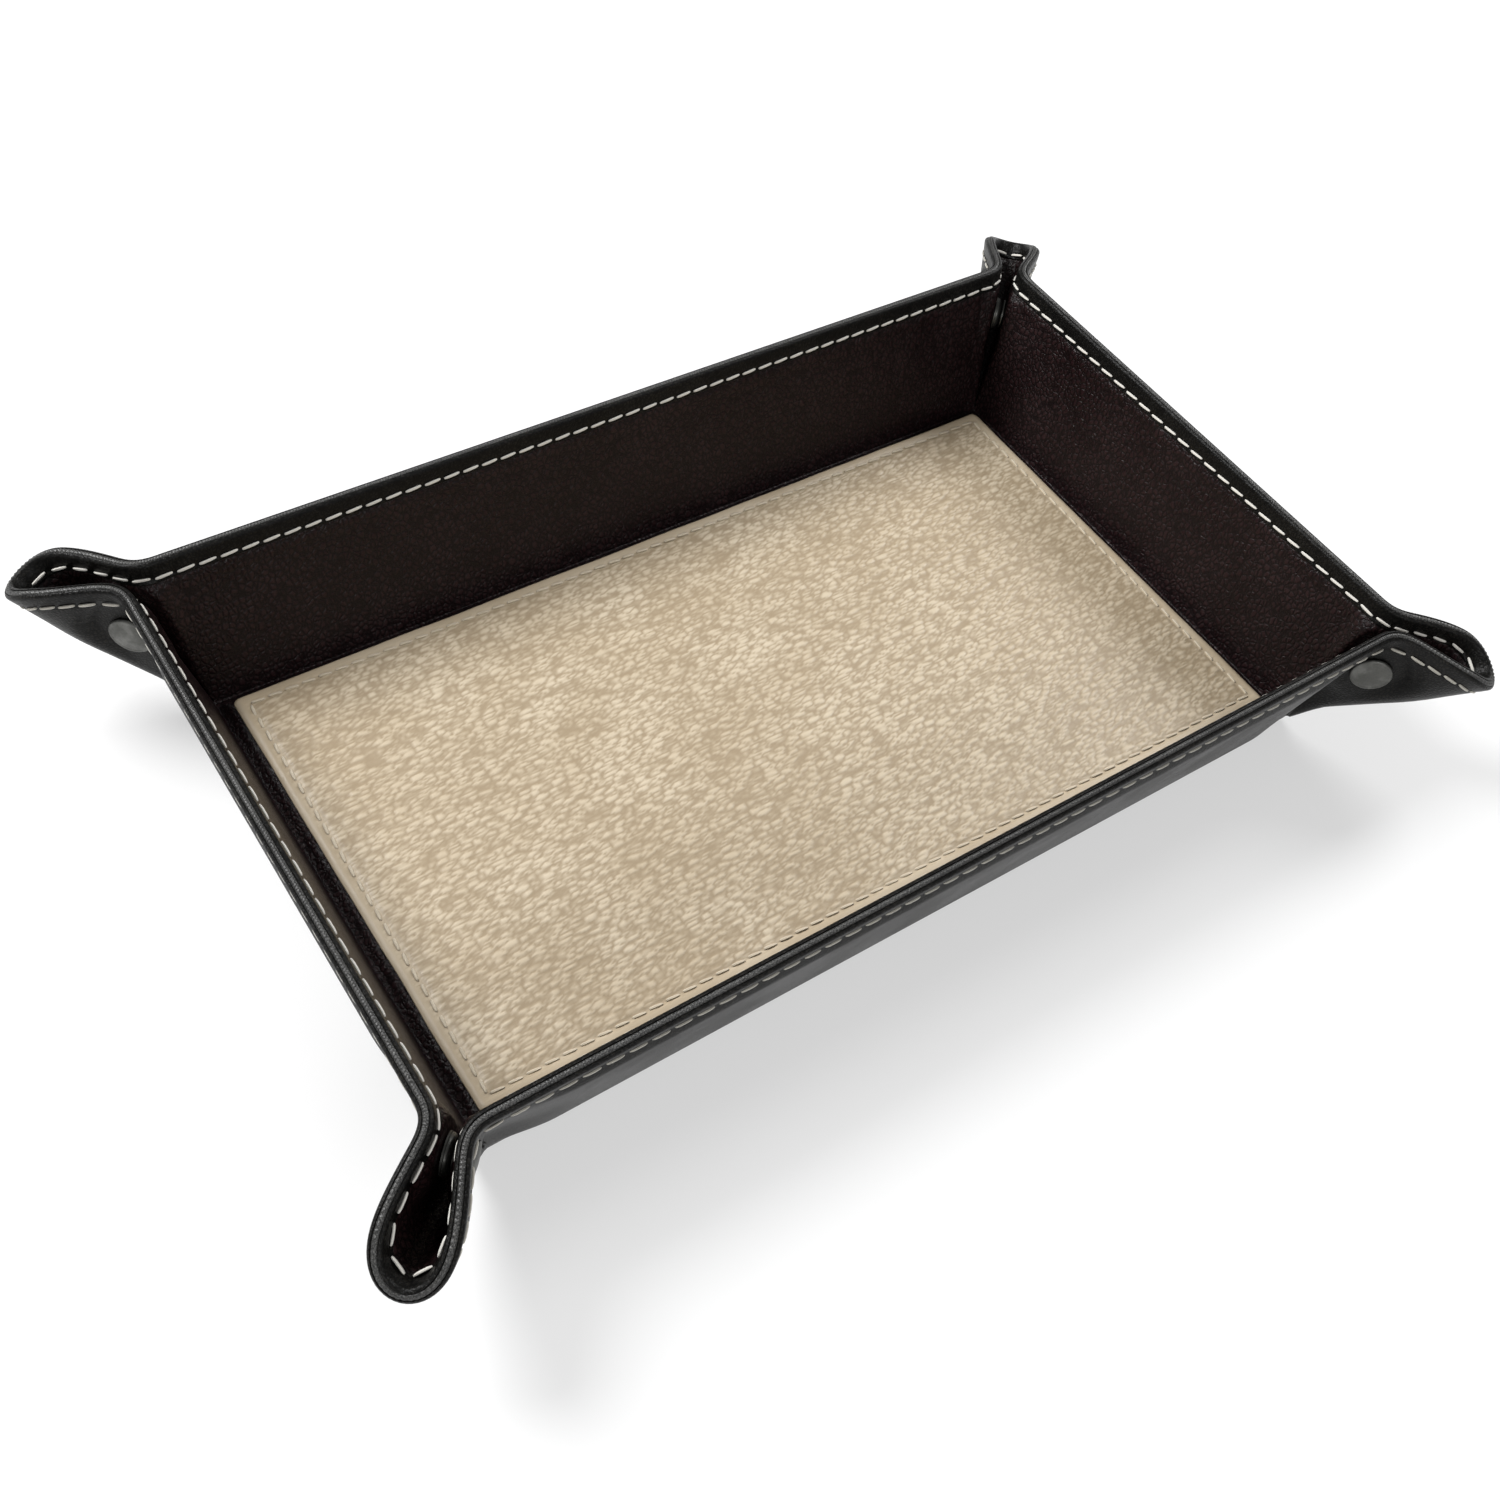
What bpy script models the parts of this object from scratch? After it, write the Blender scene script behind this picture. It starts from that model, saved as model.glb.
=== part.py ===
"""Snap-corner valet tray of leather over board, at its real size, in metres, with +Z up.

A flat sandwich of leather, board and lining is folded up along four creases. At each corner the two
walls run on into soft ears, which a press snap pinches together so that they open into a loop.
The origin is the centre of the underside. +X is the long side and +Y points away from the front wall.
"""

import math

import bmesh
import bpy
import numpy as np
from mathutils import Matrix, Vector

MM = 0.001
DEGREE = math.pi / 180

# Sizes of the folded tray, between the creases at the foot of the walls.
CREASE_LENGTH = 229.4 * MM
CREASE_WIDTH = 126.4 * MM
WALL_HEIGHT = 40.5 * MM
WALL_FLARE = 16 * DEGREE

# The layers of the sandwich, from the outside in.
COVER_THICK = 1.2 * MM
BOARD_THICK = 1.2 * MM
LINING_THICK = 0.9 * MM
PANEL_THICK = 1.2 * MM
LAYER_GAP = 0.3 * MM
SEAM_GAP = 0.3 * MM
BEND_RADIUS = 0.4 * MM

# The boards stop short of the creases, of the rim and of the ears.
BOARD_TO_CREASE = 3.5 * MM
RIM_BAND = 5.0 * MM
BOARD_CORNER = 3.0 * MM
LAYER_SLOPE = 2.6 * MM
PANEL_MARGIN = 3.2 * MM
PANEL_CORNER = 1.5 * MM
PANEL_ROUND = 0.3 * MM
EDGE_ROUND = 0.5 * MM
TAPER_LENGTH = 16.0 * MM

# The ears: a cone of leather round each base corner.
EAR_CORNER_RADIUS = 15.0 * MM
EAR_TIP_THICK = 3.9 * MM
EAR_TIP_REACH = 45.0 * MM
LINING_ROOT = 5.0 * MM
COVER_ROOT = 12.0 * MM
NECK_HALF_GAP = 1.7 * MM
NECK_START = 3 * DEGREE
NECK_HINGE = 9.6 * DEGREE
LOOP_HINGE = 31.7 * DEGREE
EAR_SPAN = 45 * DEGREE

# The press snaps. Heights are along the snap's axis.
SNAP_REACH = 27.8 * MM
CAP_RADIUS = 4.6 * MM
CAP_HEIGHT = 1.3 * MM
SOCKET_RADIUS = 4.2 * MM
SOCKET_HEIGHT = 1.7 * MM
SOCKET_BORE = 2.1 * MM
SOCKET_BACK = 0.5 * MM
STUD_FLANGE_RADIUS = 3.9 * MM
STUD_FLANGE = 0.6 * MM
KNOB_RADIUS = 1.8 * MM
KNOB_HEIGHT = 1.2 * MM
RIVET_RADIUS = 3.6 * MM
RIVET_HEIGHT = 0.8 * MM
STEM_RADIUS = 1.0 * MM
STEM_INSET = 0.1 * MM
SNAP_GAP = 0.3 * MM
SEAT_RADIUS = 8.0 * MM
SEAT_FADE = 3.5 * MM
CAP_DOME_SHARES = ((1.0, 0.0), (1.0, 0.4), (0.93, 0.75), (0.7, 0.95), (0.0, 1.0))
RIVET_DOME_SHARES = ((1.0, 0.0), (0.85, 0.7), (0.0, 1.0))
KNOB_SHARES = ((0.0, 0.0), (0.75, 0.0), (1.0, 0.3), (0.8, 1.0))

# The search for the ear's bends: where it starts, its longest and its trial step, where it ends,
# and the share of the ear in which the neck's narrowest place lies.
FIRST_BENDS = (82.0, 122.0, 25.0)
LONGEST_STEP = 6 * DEGREE
TRIAL_STEP = 0.001 * DEGREE
MOST_STEPS = 40
CLOSE_ENOUGH = 1e-10
NECK_SHARE = 0.75

# How finely the surfaces are cut up.
CURVE_STEPS = 240
WALL_COLUMNS = 4
BASE_COLUMNS = 6
STRIP_COLUMNS = 2
NECK_COLUMNS = 4
TIP_COLUMNS = 4
CREASE_ROWS = 2
SNAP_SIDES = 14
SHARP_ANGLE = 35 * DEGREE
BOARD_ROWS = 4

# Worked out from the sizes above.
CREASE_LINING = BEND_RADIUS + LINING_THICK
CREASE_COVER = CREASE_LINING + LAYER_GAP
CREASE_OUTER = CREASE_COVER + COVER_THICK
BOARD_LIFT = BOARD_THICK + LAYER_GAP
SHEET_THICK = COVER_THICK + LAYER_GAP + BOARD_THICK + LAYER_GAP + LINING_THICK
FOLD = math.pi / 2 - WALL_FLARE
EAR_TAPER = EAR_TIP_THICK / EAR_TIP_REACH
BEND_FOOT = BEND_RADIUS * math.tan(FOLD / 2)
CREASE_Z = CREASE_OUTER - BEND_RADIUS
BOARD_TOP = WALL_HEIGHT - RIM_BAND - LAYER_SLOPE
SEAT_HALF_GAP = (SOCKET_HEIGHT + STUD_FLANGE + 3 * SNAP_GAP) / 2
SNAP_ANGLE = (NECK_HINGE + LOOP_HINGE) / 2

ACROSS = np.array([1.0, -1.0, 0.0]) / math.sqrt(2)
WALL_UP = np.array([0.0, -math.sin(WALL_FLARE), math.cos(WALL_FLARE)])
WALL_ALONG = np.array([-1.0, 0.0, 0.0])
WALL_OUT = np.cross(WALL_UP, WALL_ALONG)

# Each wall's turn about Z from the front wall, its length, its distance, and the names of its ends.
WALLS = {
    "front": (0, CREASE_LENGTH, CREASE_WIDTH, ("left", "right")),
    "right": (90, CREASE_WIDTH, CREASE_LENGTH, ("front", "back")),
    "back": (180, CREASE_LENGTH, CREASE_WIDTH, ("right", "left")),
    "left": (270, CREASE_WIDTH, CREASE_LENGTH, ("back", "front")),
}
# The wall end that carries the snap's cap, for each corner, and the one that carries its stud.
SNAPS = {
    "front_left": (("left", "front"), ("front", "left")),
    "front_right": (("front", "right"), ("right", "front")),
    "back_right": (("back", "right"), ("right", "back")),
    "back_left": (("left", "back"), ("back", "left")),
}

LEATHER_BLACK = ("leather_black", (0.012, 0.011, 0.010), 0.45, 0.0)
LINING_BURGUNDY = ("lining_burgundy", (0.028, 0.010, 0.012), 0.5, 0.0)
PANEL_TAUPE = ("panel_taupe", (0.42, 0.35, 0.26), 0.5, 0.0)
GREY_BOARD = ("grey_board", (0.28, 0.26, 0.23), 0.9, 0.0)
GUNMETAL = ("gunmetal", (0.09, 0.09, 0.095), 0.35, 1.0)


def ease(x):
    """A smooth step from 0 to 1."""
    x = np.clip(x, 0.0, 1.0)
    return x * x * (3 - 2 * x)


def clear_scene():
    for obj in list(bpy.data.objects):
        bpy.data.objects.remove(obj)


def material(spec):
    name, colour, roughness, metallic = spec
    found = bpy.data.materials.get(name)
    if found:
        return found
    made = bpy.data.materials.new(name)
    made.use_nodes = True
    shader = made.node_tree.nodes["Principled BSDF"]
    shader.inputs["Base Color"].default_value = (*colour, 1.0)
    shader.inputs["Roughness"].default_value = roughness
    shader.inputs["Metallic"].default_value = metallic
    return made


# The ear's surface.
# Every straight line of the ear runs out from the base corner, so a unit direction that turns with
# the angle in the flat leather describes it, and the leather keeps its lengths when it is folded.


def ear_curve(neck_bend, loop_bend, turn):
    """Angles in the flat leather, and the direction, tangent and outward normal at each."""
    angles = np.linspace(0.0, EAR_SPAN, CURVE_STEPS + 1)
    neck = neck_bend * ease((angles - NECK_START) / (turn - NECK_START))
    loop = loop_bend * ease((angles - turn) / (EAR_SPAN - turn))
    half_turns = np.diff(neck - loop) / 2
    step = angles[1]
    direction, tangent = WALL_UP, WALL_ALONG
    frames = [(direction, tangent, np.cross(direction, tangent))]
    for half_turn in half_turns:
        tangent = turn_out(direction, tangent, half_turn)
        direction, tangent = (
            direction * math.cos(step) + tangent * math.sin(step),
            tangent * math.cos(step) - direction * math.sin(step),
        )
        tangent = turn_out(direction, tangent, half_turn)
        frames.append((direction, tangent, np.cross(direction, tangent)))
    return angles, np.array(frames)


def turn_out(direction, tangent, angle):
    outward = np.cross(direction, tangent)
    return tangent * math.cos(angle) + outward * math.sin(angle)


def ear_misfit(unknown):
    """What is left of the three conditions: the neck's gap, and a loop that closes square on."""
    angles, frames = ear_curve(*unknown)
    across = frames[:, 0] @ ACROSS
    last_direction, last_tangent = frames[-1, 0], frames[-1, 1]
    return np.array(
        [
            last_direction @ ACROSS,
            last_tangent @ np.cross(ACROSS, last_direction),
            np.min(across[angles < NECK_SHARE * EAR_SPAN]) - NECK_HALF_GAP / SNAP_REACH,
        ]
    )


def solve_ear():
    """The two bends and the angle between them, by Newton's method with short steps."""
    unknown = np.array(FIRST_BENDS) * DEGREE
    for _ in range(MOST_STEPS):
        misfit = ear_misfit(unknown)
        if np.abs(misfit).max() < CLOSE_ENOUGH:
            break
        trials = TRIAL_STEP * np.eye(len(unknown))
        slopes = np.array([ear_misfit(unknown + trial) - misfit for trial in trials])
        step = np.linalg.solve(slopes.T / TRIAL_STEP, -misfit)
        unknown = unknown + step * min(1.0, LONGEST_STEP / np.abs(step).max())
    return unknown


NECK_BEND, LOOP_BEND, TURN = solve_ear()
ANGLES, FRAMES = ear_curve(NECK_BEND, LOOP_BEND, TURN)


def ear_frame(angle):
    """Direction, tangent and outward normal of the ear at an angle from the wall's end."""
    place = angle / ANGLES[1]
    low = int(np.clip(math.floor(place), 0, CURVE_STEPS - 1))
    share = place - low
    return FRAMES[low] * (1 - share) + FRAMES[low + 1] * share


def rim_reach(angle):
    """Distance from the base corner to the rim: a straight edge, then the rounded corner."""
    straight = WALL_HEIGHT - EAR_CORNER_RADIUS
    if angle < math.atan2(straight, WALL_HEIGHT):
        return WALL_HEIGHT / math.cos(angle)
    centre = straight * math.sqrt(2)
    aside = centre * math.sin(angle - EAR_SPAN)
    return centre * math.cos(angle - EAR_SPAN) + math.sqrt(EAR_CORNER_RADIUS**2 - aside**2)


def snap_centre():
    """The point on the diagonal plane where the snap's axis crosses it."""
    direction = ear_frame(SNAP_ANGLE)[0]
    flat = direction - (direction @ ACROSS) * ACROSS
    return SNAP_REACH * flat / np.linalg.norm(flat)


SNAP_CENTRE = snap_centre()


def ear_point(angle, reach, depth, shift=0.0):
    """A point of the ear, depth below its lining face, with the seat for the snap pressed flat."""
    direction, tangent, outward = ear_frame(angle)
    face = reach * direction + shift * tangent
    from_snap = face - SNAP_CENTRE
    across = from_snap @ ACROSS
    aside = np.linalg.norm(from_snap - across * ACROSS)
    flatness = 1 - ease((aside - SEAT_RADIUS) / SEAT_FADE)
    seat = SEAT_HALF_GAP + depth * SNAP_REACH / reach
    pressed = face + (seat - across) * ACROSS
    point = face + depth * outward
    return point + flatness * (pressed - point)


def wall_point(along, height, depth):
    """A point of the flat wall, with along measured inward from the base corner."""
    return -along * WALL_ALONG + height * WALL_UP + depth * WALL_OUT


def crease_point(along, turn, radius):
    """A point on the round of the crease, turned down from the wall's own outward direction."""
    centre = BEND_FOOT * WALL_UP - BEND_RADIUS * WALL_OUT
    spoke = WALL_OUT * math.cos(turn) - WALL_UP * math.sin(turn)
    return -along * WALL_ALONG + centre + radius * spoke


# Depths of the layers below the lining face, in the wall and in the ear.


def ear_depths(reach):
    """Back of the lining, inside of the cover and outside of the cover in an ear."""
    cover_out = EAR_TAPER * reach
    root_lining = (EAR_TAPER * COVER_ROOT - LAYER_GAP) / 2
    lining = max((cover_out - LAYER_GAP) / 2, root_lining)
    return lining, lining + LAYER_GAP, cover_out


def wall_depths(along, height):
    """The same in a wall, where the board lifts the cover, turning into the ear's at the end."""
    band = ease((height - BOARD_TOP) / LAYER_SLOPE)
    lift = BOARD_LIFT * ease(height / (BOARD_TO_CREASE - LAYER_GAP))
    half = (SHEET_THICK - LAYER_GAP) / 2
    lining = LINING_THICK + band * (half - LINING_THICK)
    inside = LINING_THICK + LAYER_GAP + lift
    cover_in = inside + band * (half + LAYER_GAP - inside)
    cover_out = inside + COVER_THICK
    foot = LINING_THICK + LAYER_GAP + COVER_THICK
    ear_lining, ear_in, ear_out = ear_depths(max(height, COVER_ROOT))
    low = 1 - ease(height / COVER_ROOT)
    ear_out = ear_out + low * (foot - ear_out)
    ear_in = ear_in + low * (LINING_THICK + LAYER_GAP - ear_in)
    ear_lining = ear_lining + low * (LINING_THICK - ear_lining)
    share = 1 - ease(along / TAPER_LENGTH)
    return (
        lining + share * (ear_lining - lining),
        cover_in + share * (ear_in - cover_in),
        cover_out + share * (ear_out - cover_out),
    )


def ear_rows(root):
    """Reaches of the rows on the wall's end, from the root of the piece to the rim."""
    rows = [root] if root < COVER_ROOT else []
    step = (BOARD_TOP - COVER_ROOT) / BOARD_ROWS
    rows += [COVER_ROOT + step * index for index in range(BOARD_ROWS + 1)]
    return rows + [WALL_HEIGHT - RIM_BAND, WALL_HEIGHT - EDGE_ROUND, WALL_HEIGHT]


def layer(depths, kind, at_rim):
    """The two faces of a skin: (towards the tray, away from it), its exposed edge rounded."""
    lining, cover_in, cover_out = depths
    if kind == "lining":
        return (EDGE_ROUND / 2 if at_rim else 0.0), lining
    return cover_in, (cover_out - EDGE_ROUND / 2 if at_rim else cover_out)


# Building closed meshes out of two matching sheets of points.


def link(name, mesh, spec, parent):
    mesh.materials.append(material(spec))
    obj = bpy.data.objects.new(name, mesh)
    bpy.context.scene.collection.objects.link(obj)
    if parent:
        obj.parent = parent
        obj.matrix_parent_inverse = parent.matrix_world.inverted()
    return obj


def shell(name, near, far, cells, spec, parent, turned=()):
    """A closed skin between the sheets near and far, which map (column, row) to a point.

    Each cell is cut along one diagonal, and the turned cells along the other.
    """
    mesh = bpy.data.meshes.new(name)
    work = bmesh.new()
    corners = {}
    for cell in cells:
        for key in ring(cell):
            if key not in corners:
                pair = (work.verts.new(near[key]), work.verts.new(far[key]))
                corners[key] = pair
    for cell in cells:
        loop = ring(cell)
        if cell in turned:
            loop = loop[1:] + loop[:1]
        for half in ((loop[0], loop[1], loop[2]), (loop[0], loop[2], loop[3])):
            work.faces.new([corners[key][0] for key in half])
            work.faces.new([corners[key][1] for key in reversed(half)])
        for start, end in zip(loop, loop[1:] + loop[:1]):
            if not any((start, end) in sides(other) for other in neighbours(cell, cells)):
                near_pair = (corners[end][0], corners[start][0])
                far_pair = (corners[start][1], corners[end][1])
                work.faces.new(near_pair + far_pair)
    bmesh.ops.recalc_face_normals(work, faces=work.faces)
    work.to_mesh(mesh)
    work.free()
    mesh.shade_smooth()
    mesh.set_sharp_from_angle(angle=SHARP_ANGLE)
    return link(name, mesh, spec, parent)


def ring(cell):
    column, row = cell
    return [(column, row), (column + 1, row), (column + 1, row + 1), (column, row + 1)]


def sides(cell):
    loop = ring(cell)
    return {(end, start) for start, end in zip(loop, loop[1:] + loop[:1])}


def neighbours(cell, cells):
    column, row = cell
    around = ((column - 1, row), (column + 1, row), (column, row - 1), (column, row + 1))
    return [other for other in around if other in cells]


def wall_matrix(wall):
    """From the wall's own frame, with its left base corner's depth at y, to the tray."""
    turn, _, distance, _ = WALLS[wall]
    return Matrix.Rotation(turn * DEGREE, 4, "Z") @ Matrix.Translation((0, -distance / 2, CREASE_Z))


def placer(wall, end):
    """A function that puts a point of a corner's frame into the tray's frame."""
    _, length, _, _ = WALLS[wall]
    matrix = wall_matrix(wall)

    def place(point):
        x = length / 2 - point[0] if end else point[0] - length / 2
        return matrix @ Vector((x, point[1], point[2]))

    return place


def turner(wall, end):
    """The same for a direction."""
    rotation = wall_matrix(wall).to_3x3()

    def turn(direction):
        x = -direction[0] if end else direction[0]
        return rotation @ Vector((x, direction[1], direction[2]))

    return turn


def pivot(name, point, axis, parent):
    """An empty on a joint's axis, with its own Z along it."""
    empty = bpy.data.objects.new(name, None)
    empty.empty_display_size = RIM_BAND
    bpy.context.scene.collection.objects.link(empty)
    facing = axis.to_track_quat("Z", "Y").to_matrix().to_4x4()
    world = Matrix.Translation(point) @ facing
    if parent:
        empty.parent = parent
        empty.matrix_parent_inverse = parent.matrix_world.inverted()
    empty.matrix_basis = world
    bpy.context.view_layer.update()
    return empty


def row_reach(row, rim):
    """The row's reach on another line of the ear, where the rim is further out."""
    if row < COVER_ROOT:
        return row
    if row > WALL_HEIGHT - 2 * EDGE_ROUND:
        return rim - (WALL_HEIGHT - row)
    return COVER_ROOT + (rim - COVER_ROOT) * (row - COVER_ROOT) / (WALL_HEIGHT - COVER_ROOT)


def seat_rise():
    """How far the snap's seat stands above the neck's fold line, which is lifted by as much."""
    direction = ear_frame(NECK_HINGE)[0]
    rim = rim_reach(NECK_HINGE)
    reaches = [row_reach(row, rim) for row in ear_rows(LINING_ROOT)]
    return max((reach * direction - ear_point(NECK_HINGE, reach, 0.0)) @ ACROSS for reach in reaches)


# The walls, with the first part of the ear's bend at each end.


def crease_turns():
    return [FOLD / 2 * (1 - index / CREASE_ROWS) for index in range(CREASE_ROWS)]


def wall_columns(length):
    """Each column's end and ear angle, or its place along the wall, from end to end."""
    strips = [NECK_HINGE * step / STRIP_COLUMNS for step in range(STRIP_COLUMNS, 0, -1)]
    inner = length - 2 * TAPER_LENGTH
    places = [TAPER_LENGTH + inner * step / WALL_COLUMNS for step in range(WALL_COLUMNS + 1)]
    places = [0.0, TAPER_LENGTH / 2] + places + [length - TAPER_LENGTH / 2, length]
    columns = [(0, angle, None) for angle in strips]
    columns += [(0, None, place) for place in places]
    return columns + [(1, angle, None) for angle in reversed(strips)]


def add_wall_skin(wall, kind, spec, parent):
    _, length, _, _ = WALLS[wall]
    root = LINING_ROOT if kind == "lining" else COVER_ROOT
    radii = (BEND_RADIUS, CREASE_LINING) if kind == "lining" else (CREASE_COVER, CREASE_OUTER)
    turns = crease_turns()
    low_rows = [BEND_FOOT, BOARD_TO_CREASE] + ([LINING_ROOT] if kind == "cover" else [])
    rows = low_rows + ear_rows(root)
    first_strip_row = len(turns) + len(low_rows)
    last_row = len(turns) + len(rows) - 1
    ends = [placer(wall, 0), placer(wall, 1)]
    columns = wall_columns(length)
    near, far = {}, {}
    for column, (end, angle, along) in enumerate(columns):
        for index in range(last_row + 1):
            if angle is None:
                from_end = min(along, length - along)
                pair = wall_pair(along, from_end, index, turns, rows, radii, kind)
            elif index < first_strip_row:
                continue
            else:
                reach = row_reach(rows[index - len(turns)], rim_reach(angle))
                shift = -SEAM_GAP / 2 if angle == NECK_HINGE else 0.0
                faces = layer(ear_depths(reach), kind, index == last_row)
                pair = [ear_point(angle, reach, depth, shift) for depth in faces]
            near[column, index], far[column, index] = [ends[end](point) for point in pair]
    last_column = len(columns) - 1
    cells = {
        (column, row)
        for column in range(last_column)
        for row in range(last_row)
        if row >= first_strip_row or STRIP_COLUMNS <= column < last_column - STRIP_COLUMNS
    }
    return shell(f"{wall}_wall_{kind}", near, far, cells, spec, parent)


def wall_pair(along, from_end, index, turns, rows, radii, kind):
    """The two faces' points at one row of the flat wall, below or above the crease's round."""
    if index < len(turns):
        turn = turns[index]
        raised = SEAM_GAP / 2 * (1 - index / len(turns))
        lift = raised * (WALL_OUT * math.sin(turn) + WALL_UP * math.cos(turn))
        return [crease_point(along, turn, radius) + lift for radius in radii]
    height = rows[index - len(turns)]
    last = index == len(turns) + len(rows) - 1
    faces = layer(wall_depths(from_end, height), kind, last)
    return [wall_point(along, height, depth) for depth in faces]


def add_ear_skin(wall, end, part, kind, spec, parent):
    root = LINING_ROOT if kind == "lining" else COVER_ROOT
    first, last, columns = (
        (NECK_HINGE, LOOP_HINGE, NECK_COLUMNS)
        if part == "neck"
        else (LOOP_HINGE, EAR_SPAN, TIP_COLUMNS)
    )
    place = placer(wall, end)
    rows = ear_rows(root)
    near, far = {}, {}
    for column in range(columns + 1):
        angle = first + (last - first) * column / columns
        rim = rim_reach(angle)
        shift = {0: SEAM_GAP / 2, columns: -SEAM_GAP / 2}.get(column, 0.0)
        for index, row in enumerate(rows):
            reach = row_reach(row, rim)
            faces = layer(ear_depths(reach), kind, index == len(rows) - 1)
            pair = [ear_point(angle, reach, depth, shift) for depth in faces]
            near[column, index], far[column, index] = place(pair[0]), place(pair[1])
    cells = {(column, row) for column in range(columns) for row in range(len(rows) - 1)}
    snap_row = min(range(len(rows)), key=lambda index: abs(rows[index] - SNAP_REACH))
    turned = {cell for cell in cells if (2 * cell[0] >= columns) == (cell[1] >= snap_row)}
    end_name = WALLS[wall][3][end]
    name = f"{wall}_wall_{end_name}_{part}_{kind}"
    return shell(name, near, far, cells, spec, parent, turned)


def add_wall_board(wall, parent):
    """The stiffener in a wall, which stops short of the ears so that they stay soft."""
    _, length, _, _ = WALLS[wall]
    low, high = BOARD_TO_CREASE + LAYER_GAP, BOARD_TOP
    depth = LINING_THICK + LAYER_GAP
    inset = TAPER_LENGTH + LAYER_GAP
    place = placer(wall, 0)
    corners = [(inset, low), (length - inset, low), (length - inset, high), (inset, high)]
    return add_board(
        f"{wall}_wall_board",
        corners,
        BOARD_CORNER,
        lambda x, y, z: place(wall_point(x, y, depth + z)),
        BOARD_THICK,
        GREY_BOARD,
        parent,
    )


def rounded(corners, radius, steps=3):
    """The outline through corners with each one rounded."""
    points = []
    count = len(corners)
    for index, corner in enumerate(corners):
        here = Vector(corner)
        before = (Vector(corners[index - 1]) - here).normalized()
        after = (Vector(corners[(index + 1) % count]) - here).normalized()
        half = before.angle(after) / 2
        start, stop = here + before * radius / math.tan(half), here + after * radius / math.tan(half)
        centre = here + (before + after).normalized() * radius / math.sin(half)
        for step in range(steps + 1):
            spoke = start.lerp(stop, step / steps) - centre
            points.append(centre + spoke.normalized() * radius)
    return points


def add_board(name, corners, radius, place, thick, spec, parent):
    """A flat sheet of the given outline and thickness, put in place by a function."""
    mesh = bpy.data.meshes.new(name)
    work = bmesh.new()
    outline = rounded(corners, radius)
    near = [work.verts.new(place(point[0], point[1], 0.0)) for point in outline]
    far = [work.verts.new(place(point[0], point[1], thick)) for point in outline]
    work.faces.new(near)
    work.faces.new(list(reversed(far)))
    for index in range(len(outline)):
        after = (index + 1) % len(outline)
        work.faces.new((near[index], near[after], far[after], far[index]))
    bmesh.ops.recalc_face_normals(work, faces=work.faces)
    work.to_mesh(mesh)
    work.free()
    return link(name, mesh, spec, parent)


# The base, from the ground up.


def base_lines(size):
    """Places across the base from one crease to the other, with the tilt of the crease's round."""
    inner = size / 2 - BEND_FOOT
    slope = [inner, inner - LAYER_SLOPE / 2, inner - LAYER_SLOPE]
    middle = inner - LAYER_SLOPE
    columns = [middle * (1 - 2 * step / BASE_COLUMNS) for step in range(1, BASE_COLUMNS)]
    flat = slope + columns + [-place for place in reversed(slope)]
    tilts = crease_turns()
    lines = [(inner, tilt) for tilt in tilts]
    lines += [(place, 0.0) for place in flat]
    return lines + [(-inner, -tilt) for tilt in reversed(tilts)]


def base_point(x_line, y_line, radius, lift):
    """A point of a base skin: a flat sheet whose margin turns up round the creases."""
    (x, x_tilt), (y, y_tilt) = x_line, y_line
    x_out, y_out = math.sin(x_tilt), math.sin(y_tilt)
    down = math.sqrt(1 - x_out**2 - y_out**2)
    centre_z = CREASE_OUTER
    inner_x = CREASE_LENGTH / 2 - BEND_FOOT - abs(x)
    inner_y = CREASE_WIDTH / 2 - BEND_FOOT - abs(y)
    raised = lift * ease(min(inner_x, inner_y) / LAYER_SLOPE)
    back = SEAM_GAP / 2
    x_gap, y_gap = [back if abs(tilt) == FOLD / 2 else 0.0 for tilt in (x_tilt, y_tilt)]
    return Vector(
        (
            x + radius * x_out - math.copysign(x_gap, x) * math.cos(x_tilt),
            y + radius * y_out - math.copysign(y_gap, y) * math.cos(y_tilt),
            centre_z - radius * down + raised - (x_gap + y_gap) * math.sin(FOLD / 2),
        )
    )


def add_base_skin(kind, spec, parent):
    x_lines, y_lines = base_lines(CREASE_LENGTH), base_lines(CREASE_WIDTH)
    radii = (BEND_RADIUS, CREASE_LINING) if kind == "lining" else (CREASE_COVER, CREASE_OUTER)
    lift = BOARD_LIFT if kind == "lining" else 0.0
    near, far = {}, {}
    for column, x_line in enumerate(x_lines):
        for row, y_line in enumerate(y_lines):
            near[column, row] = base_point(x_line, y_line, radii[0], lift)
            far[column, row] = base_point(x_line, y_line, radii[1], lift)
    cells = {
        (column, row) for column in range(len(x_lines) - 1) for row in range(len(y_lines) - 1)
    }
    return shell(f"base_{kind}", near, far, cells, spec, parent)


def rectangle(length, width):
    return [
        (-length / 2, -width / 2),
        (length / 2, -width / 2),
        (length / 2, width / 2),
        (-length / 2, width / 2),
    ]


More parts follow.
